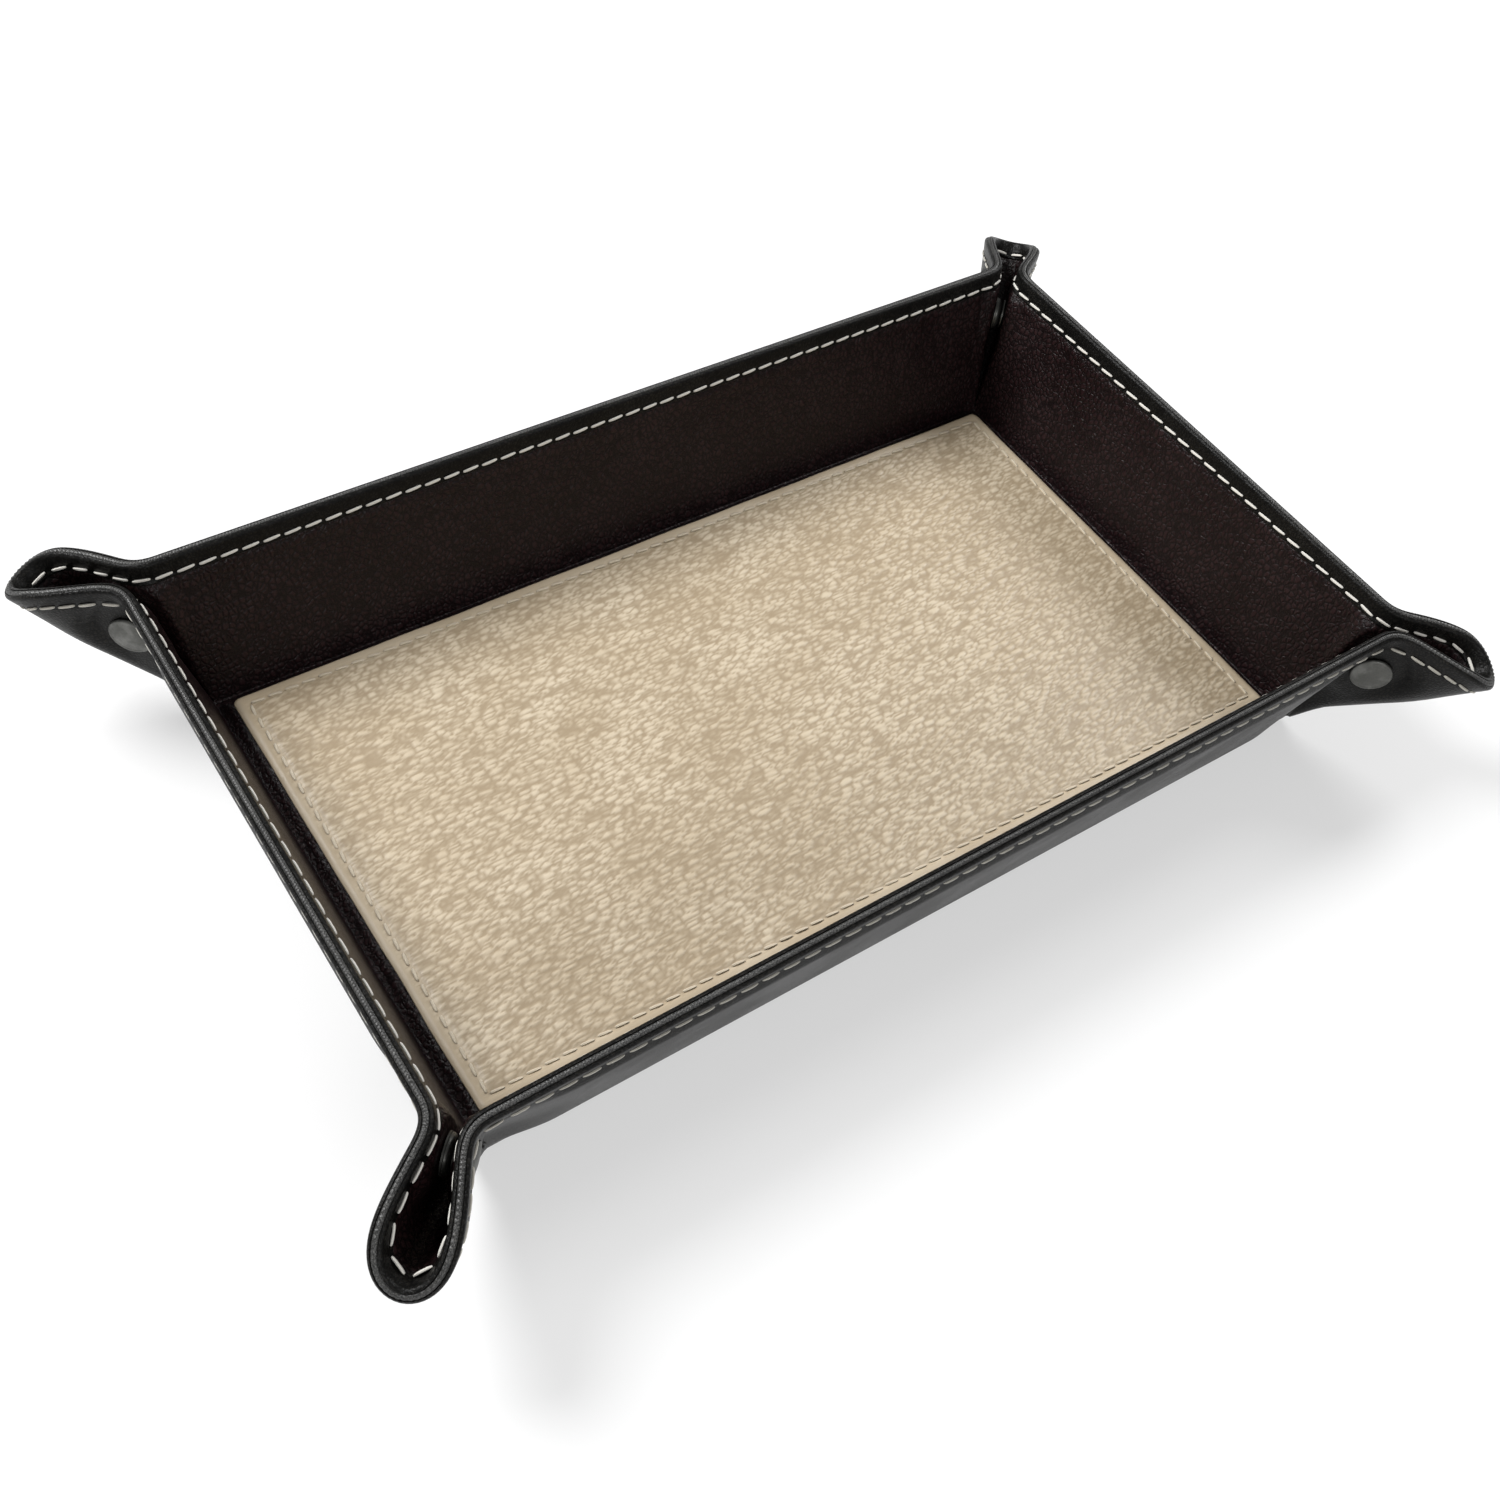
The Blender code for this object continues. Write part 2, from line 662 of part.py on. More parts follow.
def add_base(parent):
    add_base_skin("cover", LEATHER_BLACK, parent)
    add_base_skin("lining", LINING_BURGUNDY, parent)
    board_z = COVER_THICK + LAYER_GAP
    add_board(
        "base_board",
        rectangle(CREASE_LENGTH - 2 * BOARD_TO_CREASE, CREASE_WIDTH - 2 * BOARD_TO_CREASE),
        BOARD_CORNER,
        lambda x, y, z: Vector((x, y, board_z + z)),
        BOARD_THICK,
        GREY_BOARD,
        parent,
    )
    panel = add_board(
        "base_panel",
        rectangle(CREASE_LENGTH - 2 * PANEL_MARGIN, CREASE_WIDTH - 2 * PANEL_MARGIN),
        PANEL_CORNER,
        lambda x, y, z: Vector((x, y, SHEET_THICK + LAYER_GAP + z)),
        PANEL_THICK,
        PANEL_TAUPE,
        parent,
    )
    bevel = panel.modifiers.new("soft_edge", "BEVEL")
    bevel.width = PANEL_ROUND
    bevel.segments = 1
    bevel.limit_method = "ANGLE"
    bevel.angle_limit = SHARP_ANGLE


# The press snaps, turned from profiles of (radius, height along the axis).


def cap_profile():
    """The domed cap outside the cover, with the stem that is riveted into the socket."""
    skin = SEAT_HALF_GAP + EAR_TAPER * SNAP_REACH
    under = skin + SNAP_GAP
    end = SEAT_HALF_GAP - SNAP_GAP - SOCKET_BACK + STEM_INSET
    dome = [(CAP_RADIUS * out, under + CAP_HEIGHT * up) for out, up in CAP_DOME_SHARES]
    return [(0, end), (STEM_RADIUS, end), (STEM_RADIUS, under)] + dome


def socket_profile():
    """The ring that holds the knob, with a back that the cap's stem passes."""
    back = SEAT_HALF_GAP - SNAP_GAP
    front = back - SOCKET_HEIGHT
    hole = STEM_RADIUS + SNAP_GAP
    chamfer = SOCKET_BACK / 2
    return [
        (hole, back - SOCKET_BACK),
        (SOCKET_BORE, back - SOCKET_BACK),
        (SOCKET_BORE, front),
        (SOCKET_RADIUS - 2 * chamfer, front),
        (SOCKET_RADIUS - chamfer, front + chamfer),
        (SOCKET_RADIUS - chamfer, back - SOCKET_BACK),
        (SOCKET_RADIUS, back - SOCKET_BACK),
        (SOCKET_RADIUS, back),
        (hole, back),
    ]


def stud_profile():
    """The knob and its flange, joined through the leather to the rivet head outside."""
    flange = SEAT_HALF_GAP - SNAP_GAP
    root = flange - STUD_FLANGE
    tip = root - KNOB_HEIGHT
    outside = SEAT_HALF_GAP + EAR_TAPER * SNAP_REACH + SNAP_GAP
    knob = [(KNOB_RADIUS * out, tip + KNOB_HEIGHT * up) for out, up in KNOB_SHARES]
    head = [(RIVET_RADIUS * out, outside + RIVET_HEIGHT * up) for out, up in RIVET_DOME_SHARES]
    disc = [(STUD_FLANGE_RADIUS, root), (STUD_FLANGE_RADIUS, flange)]
    return knob + disc + [(STEM_RADIUS, flange), (STEM_RADIUS, outside)] + head


def add_turned(name, profile, wall, end, spec, parent):
    """A solid of revolution about the snap's axis, seated on one half of an ear."""
    place, turn = placer(wall, end), turner(wall, end)
    axis = turn(ACROSS)
    centre = place(SNAP_CENTRE)
    frame = Matrix.Translation(centre) @ axis.to_track_quat("Z", "Y").to_matrix().to_4x4()
    mesh = bpy.data.meshes.new(name)
    work = bmesh.new()
    rings = []
    for radius, height in profile:
        if radius == 0:
            rings.append([work.verts.new(frame @ Vector((0, 0, height)))])
            continue
        turns = [2 * math.pi * side / SNAP_SIDES for side in range(SNAP_SIDES)]
        spokes = [(radius * math.cos(angle), radius * math.sin(angle)) for angle in turns]
        rings.append([work.verts.new(frame @ Vector((x, y, height))) for x, y in spokes])
    if profile[0][0] != 0:
        rings.append(rings[0])
    for low, high in zip(rings, rings[1:]):
        bridge(work, low, high)
    bmesh.ops.recalc_face_normals(work, faces=work.faces)
    work.to_mesh(mesh)
    work.free()
    mesh.shade_smooth()
    mesh.set_sharp_from_angle(angle=SHARP_ANGLE)
    return link(name, mesh, spec, parent)


def bridge(work, low, high):
    for side in range(SNAP_SIDES):
        after = (side + 1) % SNAP_SIDES
        if len(low) == 1:
            work.faces.new((low[0], high[side], high[after]))
        elif len(high) == 1:
            work.faces.new((low[side], high[0], low[after]))
        else:
            work.faces.new((low[side], high[side], high[after], low[after]))


def cut_snap_hole(skin, wall, end):
    """The hole that a snap's stem passes, through one skin of a neck."""
    reach = SEAT_HALF_GAP + EAR_TAPER * SNAP_REACH + CAP_HEIGHT
    hole = STEM_RADIUS + SNAP_GAP
    profile = [(0, 0), (hole, 0), (hole, reach), (0, reach)]
    cutter = add_turned(f"{skin.name}_hole", profile, wall, end, GUNMETAL, None)
    cutter.hide_render = True
    cutter.display_type = "WIRE"
    cut = skin.modifiers.new("snap_hole", "BOOLEAN")
    cut.object = cutter
    cut.operation = "DIFFERENCE"


def add_ears(wall, wall_pivot):
    """Both ears' halves on one wall. Returns the pivots of the necks by the end's name."""
    necks = {}
    for end, end_name in enumerate(WALLS[wall][3]):
        place, turn = placer(wall, end), turner(wall, end)
        name = f"{wall}_wall_{end_name}"
        direction = ear_frame(NECK_HINGE)[0]
        foot = place(-seat_rise() * ACROSS)
        neck = pivot(f"{name}_neck_pivot", foot, turn(direction), wall_pivot)
        direction, _, outward = ear_frame(LOOP_HINGE)
        foot = place((0, 0, 0))
        tip = pivot(f"{name}_tip_pivot", foot, turn(direction + EAR_TAPER * outward), neck)
        for kind, spec in (("cover", LEATHER_BLACK), ("lining", LINING_BURGUNDY)):
            skin = add_ear_skin(wall, end, "neck", kind, spec, neck)
            cut_snap_hole(skin, wall, end)
            add_ear_skin(wall, end, "tip", kind, spec, tip)
        necks[end_name] = neck
    return necks


def add_walls(parent):
    """The four walls, each on a pivot along the outside of its crease."""
    necks = {}
    for wall in WALLS:
        matrix = wall_matrix(wall)
        middle = crease_point(0.0, FOLD / 2, CREASE_OUTER)
        point = matrix @ Vector((0, middle[1], middle[2]))
        axis = matrix.to_3x3() @ Vector((1, 0, 0))
        wall_pivot = pivot(f"{wall}_wall_pivot", point, axis, parent)
        add_wall_skin(wall, "cover", LEATHER_BLACK, wall_pivot)
        add_wall_skin(wall, "lining", LINING_BURGUNDY, wall_pivot)
        add_wall_board(wall, wall_pivot)
        necks[wall] = add_ears(wall, wall_pivot)
    return necks


def add_snaps(necks):
    for corner, (cap_side, stud_side) in SNAPS.items():
        for piece, profile, (wall, end_name) in (
            ("cap", cap_profile(), cap_side),
            ("socket", socket_profile(), cap_side),
            ("stud", stud_profile(), stud_side),
        ):
            end = WALLS[wall][3].index(end_name)
            name = f"{corner}_snap_{piece}"
            add_turned(name, profile, wall, end, GUNMETAL, necks[wall][end_name])


def build():
    clear_scene()
    tray = bpy.data.objects.new("tray", None)
    bpy.context.scene.collection.objects.link(tray)
    add_base(tray)
    add_snaps(add_walls(tray))


build()
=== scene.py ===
"""Snap-corner leather valet tray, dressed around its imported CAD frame.

The tray is a sandwich of leather, board and lining, folded up along four creases. At each corner
the leather runs on into an ear that a press snap pinches to a neck, so that its end opens into a
loop. Lengths are in metres. +X is the long side, +Y points away from the front wall and +Z is up.
"""

from __future__ import annotations

import logging
import math
from collections.abc import Sequence
from dataclasses import dataclass, field
from enum import Enum

import bpy
import numpy as np
from mathutils import Matrix, Vector, noise


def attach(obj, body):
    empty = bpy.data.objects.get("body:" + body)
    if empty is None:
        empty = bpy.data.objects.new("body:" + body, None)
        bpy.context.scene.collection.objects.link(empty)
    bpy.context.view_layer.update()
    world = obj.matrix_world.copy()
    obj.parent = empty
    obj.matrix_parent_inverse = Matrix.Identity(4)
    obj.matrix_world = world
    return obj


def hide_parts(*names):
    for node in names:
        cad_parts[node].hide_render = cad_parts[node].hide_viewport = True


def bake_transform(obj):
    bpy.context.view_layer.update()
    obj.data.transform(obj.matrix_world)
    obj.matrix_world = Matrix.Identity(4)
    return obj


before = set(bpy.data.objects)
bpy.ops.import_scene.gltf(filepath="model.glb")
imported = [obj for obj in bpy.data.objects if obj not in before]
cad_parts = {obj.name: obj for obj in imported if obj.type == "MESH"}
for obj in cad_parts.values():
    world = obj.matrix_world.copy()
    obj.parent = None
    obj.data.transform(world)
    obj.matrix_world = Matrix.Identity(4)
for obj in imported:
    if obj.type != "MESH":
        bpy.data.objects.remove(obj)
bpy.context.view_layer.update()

LOG = logging.getLogger("leather_tray")
MM = 0.001
DEGREE = math.pi / 180
Colour = tuple[float, float, float]


def ease(x: np.ndarray | float) -> np.ndarray:
    """A smooth step from 0 to 1."""
    x = np.clip(x, 0.0, 1.0)
    return x * x * (3 - 2 * x)


def mix(a: np.ndarray | float, b: np.ndarray | float, share: np.ndarray | float) -> np.ndarray:
    """The value that lies a share of the way from a to b."""
    return a + (b - a) * share


@dataclass(frozen=True)
class TraySizes:
    """The sizes that the dressed leather shares with the solids."""

    crease_length: float = 229.4 * MM
    crease_width: float = 126.4 * MM
    wall_height: float = 40.5 * MM
    wall_flare: float = 16 * DEGREE
    cover: float = 1.2 * MM
    board: float = 1.2 * MM
    lining: float = 0.9 * MM
    layer_gap: float = 0.3 * MM
    bend_radius: float = 0.4 * MM
    board_to_crease: float = 3.5 * MM
    layer_slope: float = 2.6 * MM
    panel_margin: float = 3.2 * MM
    panel_thick: float = 1.2 * MM
    taper_length: float = 16.0 * MM
    ear_corner: float = 15.0 * MM
    ear_taper: float = 3.9 / 45.0
    foot_height: float = 12.0 * MM
    neck_start: float = 3 * DEGREE
    neck_hinge: float = 9.6 * DEGREE
    loop_hinge: float = 31.7 * DEGREE
    ear_span: float = 45 * DEGREE
    snap_reach: float = 27.8 * MM
    fold_half: float = 2.2 * MM
    seat_half_gap: float = 1.6 * MM
    seat_radius: float = 8.0 * MM
    seat_fade: float = 3.5 * MM
    stitch_drop: float = 4.1 * MM
    band_proud: float = 0.25 * MM
    rim_thick: float = 2.8 * MM
    rim_start: float = 7.5 * MM
    rim_fade: float = 3.0 * MM
    rim_round: float = 1.15 * MM
    ear_thin_start: float = 24.0 * MM
    ear_thin_fade: float = 18.0 * MM
    rim_band: float = 10.5 * MM
    furrow_deep: float = 0.22 * MM
    furrow_half: float = 0.55 * MM
    channel_deep: float = 0.35 * MM
    channel_half: float = 0.52
    channel_fade: float = 0.12
    edge_end: float = 5.2 * MM
    swell_deep: float = 0.14 * MM
    swell_at: float = 33.6 * MM
    tuck_deep: float = 0.2 * MM
    tuck_at: float = 34.7 * MM
    tuck_fade: float = 0.9 * MM

    @property
    def crease_outer(self) -> float:
        """Radius of the crease's outside, about the bend's centre."""
        return self.bend_radius + self.lining + self.layer_gap + self.cover

    @property
    def fold(self) -> float:
        """The angle that the leather turns through at a crease."""
        return math.pi / 2 - self.wall_flare

    @property
    def bend_foot(self) -> float:
        """How far the bend's tangent points lie from the crease."""
        return self.bend_radius * math.tan(self.fold / 2)

    @property
    def crease_z(self) -> float:
        """Height of the crease above the ground."""
        return self.crease_outer - self.bend_radius

    @property
    def sheet(self) -> float:
        """Thickness of the whole sandwich."""
        return self.cover + self.board + self.lining + 2 * self.layer_gap


SIZES = TraySizes()
WALL_UP = np.array([0.0, -math.sin(SIZES.wall_flare), math.cos(SIZES.wall_flare)])
WALL_ALONG = np.array([-1.0, 0.0, 0.0])
WALL_OUT = np.cross(WALL_UP, WALL_ALONG)
ACROSS = np.array([1.0, -1.0, 0.0]) / math.sqrt(2)


class Skin(Enum):
    """The two leathers of the sandwich."""

    COVER = "cover"
    LINING = "lining"


class EarPart(Enum):
    """The two bodies of half an ear."""

    NECK = "neck"
    TIP = "tip"


@dataclass(frozen=True)
class Side:
    """One wall's place in the tray.

    The wall's own frame has its left base corner at the origin, and its right end is the mirror
    image.
    """

    name: str
    turn: float
    length: float
    distance: float
    ends: tuple[str, str]

    @property
    def matrix(self) -> Matrix:
        """From a frame over the middle of the wall's crease to the tray."""
        back = Matrix.Translation((0, -self.distance / 2, SIZES.crease_z))
        return Matrix.Rotation(self.turn * DEGREE, 4, "Z") @ back

    def place(self, points: np.ndarray, end: int = 0) -> np.ndarray:
        """Puts points of a corner's frame into the tray's frame.

        Args:
            points: Points in the corner's frame.
            end: 0 for the left end, 1 for the mirrored right end.

        Returns:
            The same points in the tray's frame.
        """
        moved = np.array(points, float)
        shift = -self.length / 2
        moved[..., 0] = -(points[..., 0] + shift) if end else points[..., 0] + shift
        matrix = np.array(self.matrix)
        return moved @ matrix[:3, :3].T + matrix[:3, 3]

    def turned(self, direction: np.ndarray, end: int = 0) -> np.ndarray:
        """The same for a direction."""
        return self.place(direction, end) - self.place(np.zeros(3), end)


SIDES = {
    "front": Side("front", 0, SIZES.crease_length, SIZES.crease_width, ("left", "right")),
    "right": Side("right", 90, SIZES.crease_width, SIZES.crease_length, ("front", "back")),
    "back": Side("back", 180, SIZES.crease_length, SIZES.crease_width, ("right", "left")),
    "left": Side("left", 270, SIZES.crease_width, SIZES.crease_length, ("back", "front")),
}
SNAP_SIDES = {
    "front_left": (("left", "front"), ("front", "left")),
    "front_right": (("front", "right"), ("right", "front")),
    "back_right": (("back", "right"), ("right", "back")),
    "back_left": (("left", "back"), ("back", "left")),
}


@dataclass
class EarCone:
    """Half an ear: straight lines of leather that run out from the base corner.

    A unit direction that turns with the angle in the flat leather describes it, so the leather
    keeps its lengths when it is folded.
    """

    steps: int = 240
    neck_bend: float = 61.17211593 * DEGREE
    loop_bend: float = 101.39360826 * DEGREE
    turn: float = 20.74351855 * DEGREE
    loop_power: int = 3
    tip_lift: float = 4.5 * DEGREE
    lift_start: float = 12 * DEGREE
    seat_start: float = 9 * DEGREE
    seat_end: float = 29 * DEGREE
    seat_end_fade: float = 9 * DEGREE
    angles: np.ndarray = field(init=False)
    frames: np.ndarray = field(init=False)
    snap_centre: np.ndarray = field(init=False)

    def __post_init__(self) -> None:
        """Turns the directions along the ear, and finds where the snap's axis crosses it."""
        self.angles = np.linspace(0.0, SIZES.ear_span, self.steps + 1)
        neck = self.neck_bend * ease(
            (self.angles - SIZES.neck_start) / (self.turn - SIZES.neck_start)
        )
        round_share = np.clip((self.angles - self.turn) / (SIZES.ear_span - self.turn), 0.0, 1.0)
        loop = self.loop_bend * round_share**self.loop_power
        step = self.angles[1]
        direction, tangent = WALL_UP, WALL_ALONG
        frames = [(direction, tangent, np.cross(direction, tangent))]
        for half_turn in np.diff(neck - loop) / 2:
            tangent = self._roll(direction, tangent, half_turn)
            direction, tangent = (
                direction * math.cos(step) + tangent * math.sin(step),
                tangent * math.cos(step) - direction * math.sin(step),
            )
            tangent = self._roll(direction, tangent, half_turn)
            frames.append((direction, tangent, np.cross(direction, tangent)))
        self.frames = self.lifted(np.array(frames))
        middle = self.frame_at(np.array((SIZES.neck_hinge + SIZES.loop_hinge) / 2))[0]
        flat = middle - (middle @ ACROSS) * ACROSS
        self.snap_centre = SIZES.snap_reach * flat / np.linalg.norm(flat)

    def lifted(self, frames: np.ndarray) -> np.ndarray:
        """The frames, with the loop raised a little about the line across the corner.

        Args:
            frames: Direction, tangent and normal at each step of the ear.

        Returns:
            The raised frames, in the same order.
        """
        share = (self.angles - self.lift_start) / (SIZES.ear_span - self.lift_start)
        lift = (self.tip_lift * ease(share))[:, None, None]
        aside = (frames @ ACROSS)[..., None] * ACROSS
        level = frames - aside
        return aside + level * np.cos(lift) + np.cross(ACROSS, level) * np.sin(lift)

    @staticmethod
    def _roll(direction: np.ndarray, tangent: np.ndarray, angle: float) -> np.ndarray:
        """The tangent, rolled about the direction."""
        return tangent * math.cos(angle) + np.cross(direction, tangent) * math.sin(angle)

    def frame_at(self, angle: np.ndarray) -> tuple[np.ndarray, np.ndarray, np.ndarray]:
        """Direction, tangent and outward normal at angles from the wall's end.

        Args:
            angle: Angles in the flat leather. Below zero they lie in the wall.

        Returns:
            Three arrays with one vector for each angle.
        """
        angle = np.asarray(angle, float)
        place = np.clip(angle, 0.0, SIZES.ear_span) / self.angles[1]
        low = np.clip(np.floor(place).astype(int), 0, self.steps - 1)
        share = (place - low)[..., None, None]
        rows = mix(self.frames[low], self.frames[low + 1], share)
        direction, tangent, outward = rows[..., 0, :], rows[..., 1, :], rows[..., 2, :]
        back = np.minimum(angle, 0.0)[..., None]
        turned = direction * np.cos(back) + tangent * np.sin(back)
        tangent = tangent * np.cos(back) - direction * np.sin(back)
        return turned, tangent, outward

    def rim(self, angle: np.ndarray) -> np.ndarray:
        """Distance from the base corner to the rim: a straight edge, then the rounded corner.

        Args:
            angle: Angles in the flat leather.

        Returns:
            One distance for each angle.
        """
        angle = np.asarray(angle, float)
        straight = SIZES.wall_height - SIZES.ear_corner
        centre = straight * math.sqrt(2)
        aside = centre * np.sin(angle - SIZES.ear_span)
        inside = np.maximum(SIZES.ear_corner**2 - aside**2, 0.0)
        rounded = centre * np.cos(angle - SIZES.ear_span) + np.sqrt(inside)
        edge = SIZES.wall_height / np.cos(angle)
        return np.where(angle < math.atan2(straight, SIZES.wall_height), edge, rounded)

    def reach(self, angle: np.ndarray, height: np.ndarray) -> np.ndarray:
        """Distance from the base corner of the line that runs at a height in the wall.

        Args:
            angle: Angles in the flat leather.
            height: Heights in the wall.

        Returns:
            One distance for each pair.
        """
        band = SIZES.rim_band
        rim = self.rim(angle)
        low = height * (rim - band) / (SIZES.wall_height - band)
        return np.where(height < SIZES.wall_height - band, low, rim - (SIZES.wall_height - height))

    def points(self, angle: np.ndarray, reach: np.ndarray, depth: np.ndarray) -> np.ndarray:
        """Points of the ear, depth below its lining face, with the snap's seat pressed flat.

        Args:
            angle: Angles in the flat leather.
            reach: Distances from the base corner.
            depth: Depths below the lining's face.

        Returns:
            One point for each, in the corner's frame.
        """
        direction, _, outward = self.frame_at(angle)
        face = reach[..., None] * direction
        from_snap = face - self.snap_centre
        across = from_snap @ ACROSS
        aside = np.linalg.norm(from_snap - across[..., None] * ACROSS, axis=-1)
        flatness = 1 - ease((aside - SIZES.seat_radius) / SIZES.seat_fade)
        flatness *= 1 - ease((angle - self.seat_end) / self.seat_end_fade)
        flatness *= ease(angle / self.seat_start)
        full = depth * SIZES.snap_reach / np.maximum(reach, SIZES.foot_height)
        pressed = face + (SIZES.seat_half_gap + full - across)[..., None] * ACROSS
        point = face + depth[..., None] * outward
        return mix(point, pressed, flatness[..., None])


EAR = EarCone()


def ear_depth(height: np.ndarray) -> np.ndarray:
    """How far the cover's outside lies below the lining's face in an ear.

    Args:
        height: Distances from the base corner.

    Returns:
        One depth for each.
    """
    taper = SIZES.ear_taper * np.maximum(height, SIZES.foot_height)
    thinning = ease((height - SIZES.ear_thin_start) / SIZES.ear_thin_fade)
    taper = mix(taper, SIZES.rim_thick, thinning)
    foot = SIZES.lining + SIZES.layer_gap + SIZES.cover
    return mix(taper, foot, 1 - ease(height / SIZES.foot_height))


def wall_depth(from_end: np.ndarray, height: np.ndarray) -> np.ndarray:
    """The same in a wall, where the board lifts the cover, turning into the ear's at the end.

    Args:
        from_end: Distances from the wall's nearer end.
        height: Heights in the wall.

    Returns:
        One depth for each pair.
    """
    full_lift = SIZES.board + SIZES.layer_gap
    lift = full_lift * ease(height / (SIZES.board_to_crease - SIZES.layer_gap))
    flat = SIZES.lining + SIZES.layer_gap + lift + SIZES.cover
    rim = ease((height - (SIZES.wall_height - SIZES.rim_start)) / SIZES.rim_fade)
    flat = mix(flat, SIZES.rim_thick, rim)
    return mix(flat, ear_depth(height), 1 - ease(from_end / SIZES.taper_length))


def crease_points(along: np.ndarray, turn: np.ndarray, radius: float) -> np.ndarray:
    """Points on the round of the crease, turned down from the wall's outward direction.

    Args:
        along: Distances inward from the base corner.
        turn: Angles about the bend.
        radius: Radius of the skin's show side.

    Returns:
        One point for each, in the corner's frame.
    """
    centre = SIZES.bend_foot * WALL_UP - SIZES.bend_radius * WALL_OUT
    spoke = np.cos(turn)[..., None] * WALL_OUT - np.sin(turn)[..., None] * WALL_UP
    return -along[..., None] * WALL_ALONG + centre + radius * spoke


def wall_points(along: np.ndarray, height: np.ndarray, depth: np.ndarray) -> np.ndarray:
    """Points of the flat wall.

    Args:
        along: Distances inward from the base corner.
        height: Heights in the wall.
        depth: Depths below the lining's face.

    Returns:
        One point for each, in the corner's frame.
    """
    return (
        -along[..., None] * WALL_ALONG
        + height[..., None] * WALL_UP
        + depth[..., None] * WALL_OUT
    )


@dataclass(frozen=True)
class SkinPath:
    """The line that a leather follows over a wall, from the crease to the end of its turned edge.

    Each row has a height in the wall and a depth below the lining's face, given as a share of the
    sandwich's thickness plus a distance.
    """

    turns: tuple[float, ...]
    radius: float
    heights: np.ndarray
    depth_shares: np.ndarray
    offsets: np.ndarray

    @property
    def rows(self) -> int:
        """The number of rows with the crease's own."""
        return len(self.turns) + len(self.heights)


def stitch_furrow(drop: np.ndarray) -> np.ndarray:
    """How deep the sewing pulls the leather in, at a distance below the rim."""
    return SIZES.furrow_deep * np.exp(-(((drop - SIZES.stitch_drop) / SIZES.furrow_half) ** 2))


def rim_drop(across: np.ndarray) -> np.ndarray:
    """How far the turned edge lies below its top, from -1 inside to 1 outside.

    Args:
        across: Places across the rim.

    Returns:
        One distance for each.
    """
    fullness = 2.6
    shoulder = SIZES.rim_round * (1 - (1 - np.abs(across) ** fullness) ** (1 / fullness))
    channel = SIZES.channel_deep * ease((SIZES.channel_half - np.abs(across)) / SIZES.channel_fade)
    return shoulder + channel


def cover_path() -> SkinPath:
    """The outside leather, which turns over the rim and ends below the seam inside.

    Returns:
        The cover's line.
    """
    turns = tuple(SIZES.fold * (1 - step / 9) for step in range(9))
    top = SIZES.wall_height
    climb = np.array(
        [0.5, 1.2, 2.0, 2.8, 3.6, 4.8, 6.5, 8.5, 10.5, 12.5, 14.5, 16.5, 18.5, 20.5, 22.5]
    )
    climb = np.concatenate((climb, [24.5, 26.5, 28.5, 30.3, 32, 33.4, 34.4])) * MM
    fine = top - np.array([5.3, 4.9, 4.5, 4.1, 3.7, 3.3, 2.8, 2.2, 1.7]) * MM
    outside = np.concatenate(([SIZES.bend_foot], climb, fine))
    across = np.array([1, 0.985, 0.95, 0.88, 0.80, 0.72, 0.64, 0.57, 0.52, 0.48, 0.44, 0.38, 0.12])
    across = np.concatenate((across, -across[::-1]))
    inside_drops = np.array([1.7, 2.2, 2.8, 3.3, 3.7, 4.1, 4.5, 4.8, 5.05, 5.2]) * MM
    edge = np.array([5.3, 5.3]) * MM
    heights = np.concatenate((outside, top - rim_drop(across), top - inside_drops, top - edge))
    proud = SIZES.band_proud
    shares = np.concatenate(
        (np.ones(len(outside)), (1 + across) / 2, np.zeros(len(inside_drops) + 2))
    )
    thin = np.array([1, 1, 1, 1, 1, 1, 1, 0.95, 0.8, 0.6, 0.25, -0.6])
    drops = np.concatenate((inside_drops, edge))
    offsets = np.concatenate(
        (
            -stitch_furrow(top - outside),
            -proud * (1 - across) / 2,
            -proud * thin + stitch_furrow(drops) * (drops < SIZES.edge_end),
        )
    )
    return SkinPath(turns, SIZES.crease_outer, heights, shares, offsets)


def lining_path() -> SkinPath:
    """The inside leather, from the crease to where the turned edge covers it.

    Returns:
        The lining's line.
    """
    turns = tuple(SIZES.fold * (1 - step / 5) for step in range(5))
    climb = np.array([0.8, 1.6, 2.6, 3.8, 5.2, 6.8, 8.5, 10.3, 12, 14, 16, 18, 20, 22, 24, 26, 28])
    climb = np.concatenate((climb, [29.6, 31, 32.2, 33.2, 33.9, 34.4, 34.8, 35.1, 35.4, 35.9])) * MM
    heights = np.concatenate(([SIZES.bend_foot], climb))
    swell = SIZES.swell_deep * np.exp(-(((heights - SIZES.swell_at) / SIZES.tuck_fade) ** 2))
    tuck = SIZES.tuck_deep * ease((heights - SIZES.tuck_at) / SIZES.tuck_fade)
    return SkinPath(turns, SIZES.bend_radius, heights, np.zeros(len(heights)), tuck - swell)


PATHS = {Skin.COVER: cover_path(), Skin.LINING: lining_path()}


def undulate(points: np.ndarray, size: float, height: float, seed: float) -> np.ndarray:
    """A slow swell of the leather at each point, from a fixed noise field.

    Args:
        points: Where the swell is read.
        size: Length of one swell.
        height: The most that it rises.
        seed: Shift along the field, so that swells differ.

    Returns:
        One height for each point.
    """
    flat = points.reshape(-1, 3) / size
    swell = [noise.noise(Vector((x + seed, y, z))) for x, y, z in flat]
    return height * np.array(swell).reshape(points.shape[:-1])


